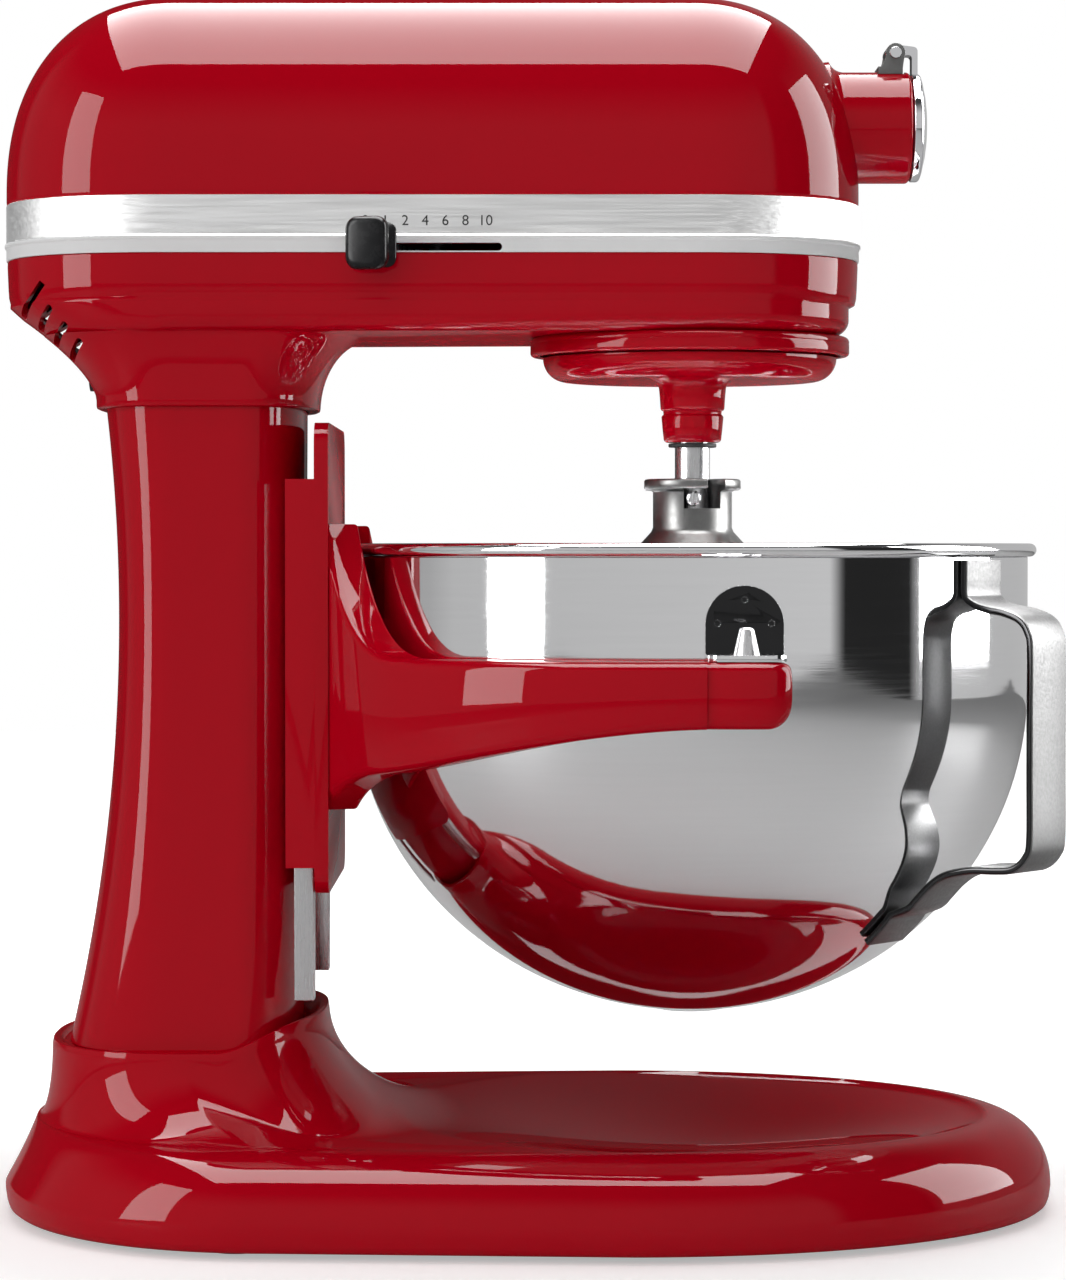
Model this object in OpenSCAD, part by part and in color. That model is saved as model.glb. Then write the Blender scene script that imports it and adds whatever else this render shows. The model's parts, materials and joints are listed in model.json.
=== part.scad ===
// Bowl-lift stand mixer with wire whip, as separate pieces.
// Millimetres. +X is the front (attachment hub), +Z is up, and the speed lever is on the -Y side.
// The origin is the middle of the base's footprint, on the counter.

/* [Base] */
// Length of the base, front to back
base_l = 363; // [330:1:400]
// Width of the base at its widest, under the bowl
base_w = 243.4; // [225:0.2:270]
// Width of the base at the column
base_rear_w = 230; // [210:1:260]
// Height of the crest around the bowl dish
crest_h = 33; // [28:1:38]
// Height of the pedestal's top, where the column stands
pedestal_h = 60; // [54:1:70]
// Height of the dish floor under the bowl
dish_floor = 21; // [18:0.5:24]
// Radius of the dish around the bowl's axis
dish_r = 105; // [95:1:110]
// Wall thickness of the base casting
base_wall = 5; // [4:0.5:6]
// Radius of a rubber foot
foot_r = 13; // [10:0.5:16]
// Gap between the base's bottom edge and the counter
foot_gap = 2.5; // [2:0.25:4]

/* [Column] */
// Height of the column, from pedestal to neck
column_h = 216.5; // [200:0.5:240]
// Width of the column at its top
column_top_w = 96; // [88:1:104]
// Width of the column at its foot
column_foot_w = 112; // [104:1:120]
// Wall thickness of the column casting
column_wall = 5; // [4:0.5:7]
// Place of the column's front face, from the origin
column_front = -79; // [-82:0.5:-78]

/* [Head] */
// Height from the neck's bottom edge to the top of the head
head_h = 142.8; // [136:0.2:156]
// Width of the head
head_w = 114; // [110:1:130]
// Place of the head's nose, from the origin
head_nose = 114.4; // [112:0.2:125]
// Place of the head's rear, from the origin
head_rear = -180.8; // [-190:0.2:-176]
// Wall thickness of the head's castings
head_wall = 4; // [3:0.5:5]
// Height of the trim band
band_h = 19.2; // [16:0.2:22]
// Depth of the recess that the trim band lies in
band_recess = 1.2; // [0.8:0.1:2]
// Length of the speed lever's slot
slot_l = 47.2; // [44:0.2:56]
// Height of the speed lever's slot
slot_h = 2.7; // [2.4:0.1:4]

/* [Bowl] */
// Place of the bowl's axis, from the origin
bowl_x = 56; // [55:0.5:58]
// Outer radius of the bowl's rolled rim
rim_r = 120; // [118:0.5:121]
// Depth of the bowl, from the rim's middle to the foot
bowl_depth = 160; // [140:1:164]
// Thickness of the bowl's steel
bowl_t = 1; // [0.8:0.1:1.4]
// Width of the handle's strap
strap_w = 22; // [18:1:26]
// Thickness of the handle's strap
strap_t = 2.5; // [2:0.1:3.5]
// Angle of the handle from the front, towards the speed lever's side
handle_a = 38; // [0:1:60]
// How far the grip stands off the rim's outside
grip_out = 22; // [20:0.5:26]

/* [Bowl lift] */
// Travel of the bowl support
lift_travel = 35; // [20:1:36]
// Turn of the lift lever
lift_turn = 90; // [70:1:100]
// Radius of the lift shaft
lift_shaft_r = 6; // [5:0.25:7]
// Length of the lift lever, from shaft to knob
lever_l = 78; // [60:1:90]
// Thickness of the yoke's arms beside the bowl
yoke_t = 18.3; // [16:0.1:20]
// Height of the pads that the bowl's brackets rest on
yoke_top = 193; // [188:0.5:196]
// Radius of a locating pin at its foot
pin_r = 4.5; // [3.5:0.25:5]
// Height of a locating pin
pin_h = 11; // [8:0.5:12]

/* [Gearing] */
// Distance from the planetary's axis to the agitator shaft
agitator_offset = 25; // [22.5:0.5:26]
// Teeth of the fixed ring gear
ring_teeth = 52; // [48:2:56]
// Teeth of the agitator shaft's pinion
sun_teeth = 12; // [12:1:14]
// Teeth of the gear on the centre shaft
centre_teeth = 54; // [50:1:54]
// Teeth of the drive pinion
drive_teeth = 16; // [14:1:17]
// Module of the drive gears
drive_module = 1.5; // [1.45:0.01:1.5]
// Radius of the agitator shaft
agitator_r = 6; // [5:0.25:6]
// Radius of the centre shaft
centre_r = 8; // [6:0.25:9]
// Radial clearance of a shaft in its bush
fit = 0.05; // [0.02:0.01:0.09]

/* [Whip] */
// Largest radius of the whip's wires
whip_r = 51; // [40:1:56]
// Diameter of a wire
wire_d = 2.2; // [1.8:0.1:3]
// Number of wire loops
loops = 6; // [4:1:6]
// Height of the lowest wire above the bowl's floor
whip_gap = 19.4; // [13:0.2:20]

/* [Attachment hub] */
// Wall of the hub around its steel sleeve
hub_wall = 1.4; // [1:0.2:3]
// Radius of the socket in the hub
socket_r = 16; // [15:0.2:16.2]
// How far the hub stands out of the nose
hub_out = 17.8; // [14:0.2:22]
// Opening angle of the hub's cover
cover_turn = 110; // [90:1:120]

/* [Hidden] */

eps = 0.01;
sides = 64;               // points around a casting's outline
$fn = 64;

enamel = "#b01018";
steel = "#c8c8ca";
dark_steel = "#77787c";
bronze = "#b98b4e";
black = "#1c1c1e";

// Heights and places that follow from the driving sizes
neck_z = pedestal_h + column_h;
head_z = neck_z + 25.5;           // underside of the head
top_z = neck_z + head_h;
belt_z = neck_z + 73.5;           // where the head is widest
band_z = neck_z + 51.1;           // trim band's lower edge
joint_z = band_z + band_h / 2;    // parting line of the head's castings
motor_z = neck_z + 98.4;          // axis of the motor and of the attachment hub
nose_c = 56;                      // where the nose's rounding starts
tail_c = -121.5;                  // where the rear's rounding starts
rim_z = yoke_top + 35.3;          // middle of the bowl's rim bead
bowl_z = rim_z - bowl_depth;      // bowl's foot
bead_r = 2.25;
shell_r = rim_r - 3;              // bowl's wall below the bead
gap = 0.3;                        // between pieces that move past each other
sleeve_t = 1.8;                   // wall of the steel sleeve in the hub
hub_r = socket_r + sleeve_t + hub_wall;

// ---------- outlines and lofts ----------

function spow(v, e) = sign(v) * pow(abs(v), e);
function mix(a, b, t) = a + (b - a) * t;
function clamp01(t) = max(0, min(1, t));
function ease(t) = let (u = clamp01(t)) u * u * (3 - 2 * u);

// Closed outline at height z: a rear half from xr about cr and a front half to xf about cf.
function ring(xr, cr, cf, xf, wr, wf, z, n = 2.3) =
    [for (i = [0:sides - 1])
        let (a = 360 * (i + 0.5) / sides, px = spow(cos(a), 2 / n), py = spow(sin(a), 2 / n))
        cos(a) >= 0 ? [cf + (xf - cf) * px, wf * py, z] : [cr + (cr - xr) * px, wr * py, z]];

// Closed solid through a list of rings. wrap joins the last ring to the first.
module loft(rings, wrap = false) {
    m = len(rings);
    k = len(rings[0]);
    points = [for (r = rings) each r];
    skin = [for (j = [0:wrap ? m - 1 : m - 2], i = [0:k - 1])
        let (a = j * k, b = ((j + 1) % m) * k, n = (i + 1) % k)
        each [[a + i, b + i, b + n], [a + i, b + n, a + n]]];
    caps = wrap ? [] : [[for (i = [0:k - 1]) i], [for (i = [k - 1:-1:0]) (m - 1) * k + i]];
    polyhedron(points, concat(skin, caps), convexity = 6);
}

// Turns a shape made along Z so that it lies along X, from x onwards, on the motor's axis.
module along_x(x) { translate([x, 0, motor_z]) rotate([0, 90, 0]) children(); }

// Tube between two heights.
module tube(r_out, r_in, z0, z1) {
    translate([0, 0, z0]) difference() {
        cylinder(r = r_out, h = z1 - z0);
        translate([0, 0, -1]) cylinder(r = r_in, h = z1 - z0 + 2);
    }
}

// Gear outline: straight-flanked teeth with tip, root and half thickness in pitches.
function cog(n, m, tip, root, half) =
    [for (i = [0:n - 1], p = [[-root, -half - 0.08], [tip, -half + 0.09],
                              [tip, half - 0.09], [-root, half + 0.08]])
        let (r = m * n / 2 + p[0] * m, a = 360 * (i + p[1]) / n) [r * cos(a), r * sin(a)]];

// Outline with rounded corners.
module round_rect(w, h, r) {
    union() {
        square([w - 2 * r, h], center = true);
        square([w, h - 2 * r], center = true);
        for (x = [-1, 1], y = [-1, 1]) translate([x * (w / 2 - r), y * (h / 2 - r)]) circle(r = r);
    }
}

// ---------- base ----------

base_cr = -83.5;
base_cf = 31.5;
rim_low = 9;              // height where the side wall is fullest
rim_in = 24;              // how far the crest lies inside the side wall
skirt_in = 2.5;           // how far the bottom edge is tucked in
rear_in = 15;             // how far the pedestal's rear wall lies inside the base's rear
lip_h = 9;                // rise of the pedestal's lip in front of the column

function rear_flare(z) = rear_in * (1 - pow(1 - clamp01((z - rim_low - 2) / 39), 1.5));
function base_ring(inset, z, rear) =
    ring(-base_l / 2 + rear, base_cr, base_cf, base_l / 2 - inset,
         base_rear_w / 2 - inset, base_w / 2 - inset, z, 2.08);
function pedestal_ring(inset, z) =
    ring(-base_l / 2 + rear_in + 1.5 + inset, -112, -106, column_front + 9 - inset,
         column_foot_w / 2 + 9 - inset, column_foot_w / 2 + 9 - inset, z, 2.5);
function lip(x) = lip_h * ease((x - column_front + 26) / 30);
function dish(x, y) =
    let (r = norm([x - bowl_x, y]) / dish_r)
    r < 1 ? mix(dish_floor, crest_h, r * r * (2 - r)) : crest_h;

// Top surface: crest, dish and the pedestal's hollow flank, along s from crest to pedestal.
function base_top(s) =
    let (a = base_ring(rim_in, crest_h, rear_flare(crest_h)), b = pedestal_ring(0, 0))
    [for (i = [0:sides - 1])
        let (p = mix([a[i].x, a[i].y], [b[i].x, b[i].y], s),
             far = norm([b[i].x - a[i].x, b[i].y - a[i].y]),
             u = 1 - clamp01(far * (1 - s) / min(far, 46)),
             rise = pedestal_h + lip(b[i].x) - crest_h)
        [p.x, p.y, dish(p.x, p.y) + rise * (1 - sqrt(1 - u * u * 0.998))
            + (crest_h - dish(p.x, p.y)) * u * u]];

feet = [[31.5 - base_l / 2, 0],
        for (s = [-1, 1]) each [[86.5 - base_l / 2, s * (base_rear_w / 2 - 27)],
                                [base_l / 2 - 76.5, s * (base_w / 2 - 43.7)]]];
column_bolt_y = column_foot_w / 2 - column_wall - 8.5;
column_bolt_at = [for (x = [-138, -97], y = [-1, 1]) [x, y * column_bolt_y]];

module base_casting() {
    deck = dish_floor - base_wall;
    color(enamel) difference() {
        union() {
            loft(concat(
                [pedestal_ring(base_wall + 1, pedestal_h - base_wall),
                 pedestal_ring(base_wall + 1, deck + 1),
                 base_ring(base_wall + 7, deck, base_wall + 7),
                 base_ring(base_wall + 2, foot_gap, base_wall + 2),
                 base_ring(skirt_in, foot_gap, skirt_in),
                 base_ring(skirt_in / 5, foot_gap + 3, skirt_in / 5)],
                [for (t = [0:12:84])
                    let (z = rim_low + (crest_h - rim_low) * pow(sin(t), 0.92))
                    base_ring(rim_in * (1 - pow(cos(t), 0.92)), z, rear_flare(z))],
                [for (j = [0:15]) base_top(1 - pow(1 - j / 15, 1.7))],
                [[for (p = pedestal_ring(1.2, 0)) [p.x, p.y, pedestal_h + lip(p.x) + 0.6]],
                 [for (p = pedestal_ring(4, 0)) [p.x, p.y, pedestal_h + lip(p.x) - 0.6]],
                 pedestal_ring(6.5, pedestal_h)]));
            for (p = feet) translate([p.x, p.y, foot_gap + 1]) cylinder(r = 9, h = deck - foot_gap);
        }
        for (p = feet) translate([p.x, p.y, 0]) cylinder(r = 4, h = foot_gap + 10);
        for (p = column_bolt_at) translate([p.x, p.y, deck + 5]) cylinder(r = 3.3, h = pedestal_h);
    }
}

module rubber_feet() {
    color(black) for (p = feet) translate([p.x, p.y, 0]) union() {
        rotate_extrude() polygon([[0, 0], [foot_r - 2, 0], [foot_r, 1.2],
            [foot_r, foot_gap], [foot_r - 1, foot_gap + 1], [0, foot_gap + 1]]);
        cylinder(r = 4, h = foot_gap + 9);
    }
}

// ---------- column ----------

function column_ring(inset, z) =
    let (t = (z - pedestal_h) / column_h,
         w = mix(column_foot_w, column_top_w, 1 - pow(1 - t, 1.6)) / 2 - inset,
         waist = 0.669, bow = 38.4 * pow(t - waist, 2))
    ring(column_front - 62.4 - bow + inset, -118, -100, column_front + 1.5 * t - inset,
         w, w, z, 2.8);
column_inner_half = column_top_w / 2 - column_wall;
neck_bolt_y = column_inner_half - 3;
neck_bolt_at = [for (x = [-130, -92], y = [-1, 1]) [x, y * neck_bolt_y]];

shaft_x = -100;
shaft_z = yoke_top - 18;
bush_r = lift_shaft_r + 3;
bush_in = 38;                      // where the bushes' inner ends are
bush_out = column_foot_w / 2 - 2;  // outer end of the bush on the lever's side
bush_blind = bush_in + 8;          // outer end of the blind bush, inside the other wall
plate_y = 8;                       // near face of the lift plate
plate_t = 6;
window_w = plate_t + 8;

module column_casting() {
    rows = [for (j = [0:10]) pedestal_h + column_h * j / 10];
    color(enamel) difference() {
        union() {
            loft(concat([for (z = rows) column_ring(0, z)],
                [for (j = [10:-1:0]) column_ring(column_wall, rows[j])]), wrap = true);
            for (p = column_bolt_at) translate([p.x, p.y, pedestal_h]) cylinder(r = 8.8, h = 22);
            for (p = neck_bolt_at) translate([p.x, p.y, neck_z - 18]) cylinder(r = 7, h = 18);
            for (s = [-1, 1]) translate([shaft_x, s * (bush_in + 5.5), shaft_z]) rotate([90, 0, 0])
                cylinder(r = bush_r + 5, h = 11, center = true);
        }
        for (p = column_bolt_at) translate([p.x, p.y, pedestal_h - 1]) cylinder(r = 3, h = 30);
        for (p = neck_bolt_at) translate([p.x, p.y, neck_z - 25]) union() {
            cylinder(r = 2.6, h = 30);
            cylinder(r = 5.3, h = 7);
        }
        translate([shaft_x, -bush_blind, shaft_z]) rotate([-90, 0, 0])
            cylinder(r = bush_r, h = bush_blind + 100);
        translate([column_front - 20, plate_y + plate_t / 2 - window_w / 2,
                   shaft_z - lift_travel - 20])
            cube([40, window_w, lift_travel + 80]);
    }
}

module bolts(at, r, z0, z1, head_r, head_h) {
    for (p = at) translate([p.x, p.y, z0]) union() {
        cylinder(r = r, h = z1 - z0);
        cylinder(r = head_r, h = head_h, $fn = 6);
    }
}

module column_bolts() {
    z0 = pedestal_h - base_wall - 5;
    color(dark_steel) bolts(column_bolt_at, 3, z0, pedestal_h + 18, 6.5, 5);
}

module neck_bolts() {
    color(dark_steel) bolts(neck_bolt_at, 2.6, neck_z - 23, neck_z + 12, 5, 5);
}

rail_y = 44;
rail_w = 8;
rail_x = column_front + 0.2;
rail_t = 6.8;
rail_z = pedestal_h + 16.7;
rail_h = yoke_top + 58 - rail_z;   // up to just inside the raised carriage

module guide_rails() {
    color(steel) for (s = [-1, 1])
        translate([rail_x, s * (rail_y + rail_w / 2) - rail_w / 2, rail_z])
            cube([rail_t, rail_w, rail_h]);
}

module lift_shaft_bushes() {
    color(bronze) for (y = [[bush_in, bush_out], [-bush_blind, -bush_in]])
        translate([shaft_x, y[0], shaft_z]) rotate([-90, 0, 0])
            tube(bush_r, lift_shaft_r + fit, 0, y[1] - y[0]);
}

// ---------- head ----------

function head_ring(inset, z, s = 1) =
    ring(tail_c + (head_rear - tail_c) * s + inset, tail_c, nose_c,
         nose_c + (head_nose - nose_c) * s - inset,
         head_w / 2 * s - inset, head_w / 2 * s - inset, z, 2.25);
// Neck, flaring to the rear's slope and to the underside at the front. u runs up the neck.
function neck_ring(inset, z) =
    let (up = z - neck_z, back = 31 * pow(clamp01((up - 3.5) / 31), 1.5),
         u = clamp01(up / 25.5), fore = 19 * (1 - sqrt(1 - u * u * 0.98)),
         w = column_top_w / 2 + 3 + 1.5 * u * u - inset)
    ring(column_front - 70.1 - back + inset, -118, -100 + fore, column_front + 6 + fore - inset,
         w, w, z, 2.8);
// Underside and lower flank of the head: the rear keeps to the neck's slope.
function belly_ring(inset, z, tuck) =
    let (up = z - neck_z, back = 31 * pow(clamp01((up - 3.5) / 31), 1.5))
    ring(max(column_front - 70.1 - back, head_rear + 1.3) + inset, tail_c, nose_c,
         head_nose - 3.4 - tuck - inset, head_w / 2 - 0.8 - tuck - inset,
         head_w / 2 - 0.8 - tuck - inset, z, 2.3);

case_hole_r = 47;

module gearcase_casting() {
    inner_z = head_z + head_wall;
    color(enamel) difference() {
        union() {
            loft(concat(
                [for (up = [0, 4, 8, 12, 16, 20, 23, 25]) neck_ring(0, neck_z + up)],
                [belly_ring(0, head_z, 6), belly_ring(0, head_z + 2.2, 2),
                 belly_ring(0, head_z + 5.5, 0.4), belly_ring(0, head_z + 9.5, 0),
                 head_ring(0.6, head_z + 16), head_ring(0.2, band_z),
                 head_ring(band_recess, band_z + eps), head_ring(band_recess, joint_z),
                 head_ring(head_wall, joint_z), head_ring(head_wall + 0.6, head_z + 16),
                 belly_ring(head_wall, head_z + 10, 0),
                 belly_ring(head_wall, inner_z, 6)],
                [for (up = [25, 20, 16, 12, 8, 4, 0]) neck_ring(head_wall, neck_z + up)]),
                wrap = true);
            for (p = neck_bolt_at) translate([p.x, p.y, neck_z]) cylinder(r = 7, h = 16);
            for (p = screw_at) translate([p.x, p.y, joint_z - 9]) cylinder(r = 5, h = 9);
        }
        translate([nose_c, 0, head_z - 8]) cylinder(r = 56, h = 8);
        for (p = screw_at) translate([p.x, p.y, joint_z - 10]) cylinder(r = 2, h = 12);
        translate([nose_c, 0, head_z - 10]) cylinder(r = case_hole_r, h = 30);
        for (p = neck_bolt_at) translate([p.x, p.y, neck_z - 1]) cylinder(r = 2.6, h = 14);
        speed_slot();
        for (s = [-1, 1], i = [0:3])
            translate([-171 + 4.2 * i, s * 18, neck_z + 28 - 4.6 * i]) rotate([0, 38, 0])
                cube([16, 20, 2], center = true);
        along_gland() cylinder(r = gland_r, h = 40, center = true);
    }
}

slot_x = -32.4;
slot_z = band_z + 1.8;
module speed_slot() {
    translate([slot_x - slot_l / 2, -head_w / 2 - 2, slot_z - slot_h / 2])
        cube([slot_l, 12, slot_h]);
}

gland_r = 7;
module along_gland() { translate([-140, 0, neck_z + 14]) rotate([0, -90, 0]) children(); }

module cord_gland() {
    color(black) along_gland() difference() {
        union() {
            translate([0, 0, 1]) cylinder(r = gland_r, h = 11.5);
            translate([0, 0, 1]) cylinder(r = gland_r + 2, h = 3.5);
        }
        cylinder(r = 3.6, h = 20);
    }
}

// Ring that closes the gear case around the planetary.
module gearcase_ring() {
    z = head_z - 6.6;
    color(enamel) translate([nose_c, 0, 0]) rotate_extrude() polygon([
        [52.2, z], [54.2, z], [55.4, z + 1.2], [55.4, head_z - 1.5], [53.6, head_z],
        [case_hole_r - gap, head_z], [case_hole_r - gap, head_z + 3],
        [case_hole_r - 2.5, head_z + 3], [case_hole_r - 2.5, head_z - 2], [52.2, head_z - 2]]);
}

hub_tip = head_nose + hub_out;

module motor_housing() {
    color(enamel) difference() {
        union() {
            loft(concat(
                [for (t = [84:-14:0])
                    head_ring(0, belt_z + (top_z - belt_z - head_wall) * pow(sin(t), 0.89),
                              pow(cos(t), 0.89) * (1 - 2 * head_wall / head_w))],
                [head_ring(head_wall, joint_z), head_ring(band_recess, joint_z),
                 head_ring(band_recess, band_z + band_h - eps), head_ring(0, band_z + band_h),
                 head_ring(0, belt_z)],
                [for (t = [9:9:81]) head_ring(0, belt_z + (top_z - belt_z) * pow(sin(t), 0.89),
                                              pow(cos(t), 0.89))],
                [head_ring(0, top_z - 0.1, 0.12), head_ring(0, top_z, 0.03)]));
            for (p = screw_at) translate([p.x, p.y, joint_z]) cylinder(r = 5, h = 14);
            along_x(hub_tip) rotate([180, 0, 0]) rotate_extrude() polygon(concat(
                [[0, 0], [hub_r - 1.2, 0], [hub_r, 1.2]],
                [for (t = [0:15:60]) [hub_r + 6 * (1 - cos(t)), hub_out + 5 + 6 * sin(t)]],
                [[hub_r + 3, hub_out + 16], [0, hub_out + 16]]));
        }
        translate([cover_x - 6.2, -7.3, motor_z + lug_seat]) cube([9.8, 14.6, 12]);
        along_x(hub_tip - 60) cylinder(r = socket_r + sleeve_t, h = 61);
        translate([hub_tip - 13, 0, motor_z]) rotate([-90, 0, 0]) cylinder(r = 4, h = 40);
        for (p = screw_at) translate([p.x, p.y, joint_z - 1]) cylinder(r = 2, h = 14);
        for (p = trim_screw_at) translate([p, head_w / 2 - 8, joint_z + 4]) rotate([-90, 0, 0])
            cylinder(r = 1.5, h = 10);
    }
}

screw_at = [for (x = [-112, -66, 60], y = [-1, 1]) [x, y * (head_w / 2 - head_wall - 3.2)]];
module housing_screws() {
    color(dark_steel) for (p = screw_at) translate([p.x, p.y, joint_z - 9]) union() {
        cylinder(r = 2, h = 22);
        translate([0, 0, -2.5]) cylinder(r = 2.5, h = 2.5);
    }
}

module trim_band() {
    top = band_z + band_h;
    color(steel) difference() {
        loft([head_ring(0.2, band_z), head_ring(-0.1, band_z + 0.3),
              head_ring(-0.1, band_z + 4), head_ring(-0.7, band_z + 4.6),
              head_ring(-0.7, band_z + 5.6), head_ring(-0.1, band_z + 6.2),
              head_ring(-0.1, top - 0.3), head_ring(0, top),
              head_ring(band_recess, top), head_ring(band_recess, band_z)], wrap = true);
        speed_slot();
        for (x = trim_screw_at) translate([x, head_w / 2 - 8, joint_z + 4]) rotate([-90, 0, 0])
            cylinder(r = 1.5, h = 10);
    }
}

trim_screw_at = [-130, 40];
module trim_screws() {
    color(steel) for (x = trim_screw_at)
        translate([x, head_w / 2 - 7, joint_z + 4]) rotate([-90, 0, 0]) union() {
            cylinder(r = 1.5, h = 7.1);
            translate([0, 0, 7.1]) rotate_extrude() polygon([[0, 0], [3, 0], [2.4, 1.1], [0, 1.5]]);
        }
}

// ---------- gears and motor ----------

web_z = head_z + 9;                  // underside of the transmission plate
web_t = 5;
gear_z = web_z + web_t + 22;         // underside of the centre gear
drive_gap = drive_module * (centre_teeth + drive_teeth) / 2;
worm_r = 7;
wheel_r = 17;
drive_y = worm_r + wheel_r + 0.4;
drive_x = nose_c - sqrt(drive_gap * drive_gap - drive_y * drive_y);
mesh_a = atan2(drive_y, drive_x - nose_c);
drive_shaft_r = 5;
sun_module = 2 * agitator_offset / (ring_teeth - sun_teeth);
mesh_z = head_z + 0.5;               // underside of the ring gear
mesh_h = 8;

module transmission_plate() {
    color(dark_steel) translate([0, 0, web_z]) difference() {
        linear_extrude(web_t) union() {
            translate([nose_c, 0]) circle(r = case_hole_r - 1);
            translate([drive_x, drive_y]) circle(r = 14);
            translate([drive_x, drive_y - 14]) square([nose_c - drive_x, 22]);
        }
        translate([nose_c, 0, -1]) cylinder(r = centre_r + 5, h = web_t + 2);
        translate([drive_x, drive_y, -1]) cylinder(r = drive_shaft_r + 3, h = web_t + 2);
    }
}

module ring_gear() {
    z1 = web_z - mesh_z;
    color(dark_steel) translate([nose_c, 0, mesh_z]) difference() {
        cylinder(r = case_hole_r - 4, h = z1);
        rotate([0, 0, -90]) translate([0, 0, -1]) linear_extrude(z1 + 2)
            polygon(cog(ring_teeth, sun_module, 1.15, 0.8, 0.29));
    }
}

module centre_bush() {
    color(bronze) translate([nose_c, 0, 0])
        tube(centre_r + 5, centre_r + fit, web_z - 0.5, web_z + web_t + 14);
}

module drive_bush() {
    color(bronze) translate([drive_x, drive_y, 0])
        tube(drive_shaft_r + 3, drive_shaft_r + fit, web_z - 1, web_z + web_t + 10);
}

module centre_shaft() {
    color(dark_steel) translate([nose_c, 0, head_z - 9])
        cylinder(r = centre_r, h = gear_z + 16 - head_z + 9);
}

module centre_gear() {
    color(dark_steel) translate([nose_c, 0, gear_z]) difference() {
        union() {
            rotate([0, 0, mesh_a + 180 / centre_teeth]) linear_extrude(12)
                polygon(cog(centre_teeth, drive_module, 0.8, 1.1, 0.2));
            translate([0, 0, 12 - eps]) cylinder(r1 = 30, r2 = 24, h = 4);
        }
        translate([0, 0, -1]) cylinder(r = centre_r, h = 30);
    }
}

module drive_pinion() {
    color(dark_steel) translate([drive_x, drive_y, 0]) union() {
        translate([0, 0, web_z + web_t + 1]) cylinder(r = drive_shaft_r, h = motor_z + 12 - web_z - 6);
        translate([0, 0, web_z - 1]) cylinder(r = drive_shaft_r, h = 10);
        translate([0, 0, gear_z]) rotate([0, 0, mesh_a + 180]) linear_extrude(12)
            polygon(cog(drive_teeth, drive_module, 0.8, 1.1, 0.2));
    }
}

module worm_wheel() {
    color(bronze) translate([drive_x, drive_y, motor_z - 6]) difference() {
        linear_extrude(12) polygon(cog(36, 2 * (wheel_r - 0.9) / 36, 0.8, 1.1, 0.2));
        translate([0, 0, -1]) cylinder(r = drive_shaft_r, h = 14);
    }
}

field_x = -134;
field_l = 50;
armature_r = 25;
shaft_end = drive_x + 18;

module motor_field() {
    color(dark_steel) along_x(field_x) difference() {
        cylinder(r = 38, h = field_l);
        translate([0, 0, -1]) cylinder(r = armature_r + 0.8, h = field_l + 2);
        for (a = [45:90:315]) rotate([0, 0, a]) translate([38, 0, -1]) cylinder(r = 6, h = field_l + 2);
    }
}

bearing_at = [-64, -161];
module motor_bearings() {
    color(steel) for (x = bearing_at) along_x(x) tube(11, 5 + fit, 0, 8);
}

module motor_brackets() {
    color("#9a9b9f") for (i = [0, 1]) along_x(bearing_at[i]) difference() {
        intersection() {
            cylinder(r = i == 0 ? 36 : 22, h = 7);
            translate([-22, -60, 0]) cube([44, 120, 7]);
        }
        translate([0, 0, -1]) cylinder(r = 11, h = 10);
    }
}

brush_x = field_x - 11;
module brush_pair() {
    for (s = [-1, 1]) translate([brush_x, 0, motor_z]) rotate([-s * 90, 0, 0]) children();
}
module brush_holders() {
    color(bronze) brush_pair() tube(6, 3.6, 15, 36);
}
module carbon_brushes() {
    color(black) brush_pair() translate([0, 0, 13.2]) cylinder(r = 3.5, h = 16);
}

module armature() {
    color("#8a6a3a") union() {
        along_x(bearing_at[1] - 2) cylinder(r = 5, h = shaft_end - bearing_at[1] + 2);
        along_x(field_x + 3) cylinder(r = armature_r, h = field_l - 6);
        along_x(brush_x - 7) cylinder(r = 13, h = 14);
        along_x(field_x + field_l + 4) cylinder(r = 31, h = 5);
        along_x(drive_x - 15) rotate_extrude() polygon(concat([[0, 0]],
            [for (i = [0:19]) [i % 2 == 0 ? worm_r : worm_r - 1.6, 0.4 + 1.5 * i]], [[0, 29.6]]));
    }
}

module control_board() {
    color("#2f6b3a") union() {
        translate([-58, -30, head_z + 12]) cube([34, 60, 1.6]);
        for (x = [-52, -40], y = [-20, 5]) translate([x, y, head_z + 13.5]) cube([9, 11, 6]);
    }
}

module speed_plate() {
    color("#9a9b9f") translate([-45, -30, slot_z - 6.5]) difference() {
        cube([40, 34, 2]);
        translate([45 + pivot_x, 30 + pivot_y, -1])
            cylinder(r = 3, h = 4);
    }
}

pivot_x = -31.5;
pivot_y = -10;
lever_t = 1.6;
knob_a = 108.9;                       // rest direction of the speed lever

module speed_lever_pivot() {
    color(dark_steel) translate([pivot_x, pivot_y, 0]) union() {
        translate([0, 0, slot_z - 6.5]) cylinder(r = 3, h = 11);
        translate([0, 0, slot_z + 3.5]) cylinder(r = 5, h = 1.5);
    }
}

module speed_lever_arm() {
    reach = (head_w / 2 + 9 + pivot_y) / sin(knob_a);
    color(steel) translate([pivot_x, pivot_y, slot_z - lever_t / 2]) difference() {
        union() {
            cylinder(r = 7, h = lever_t);
            rotate([0, 0, -knob_a]) translate([0, -3.4, 0]) cube([reach, 6.8, lever_t]);
        }
        translate([0, 0, -1]) cylinder(r = 3 + fit, h = lever_t + 2);
    }
}

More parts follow.
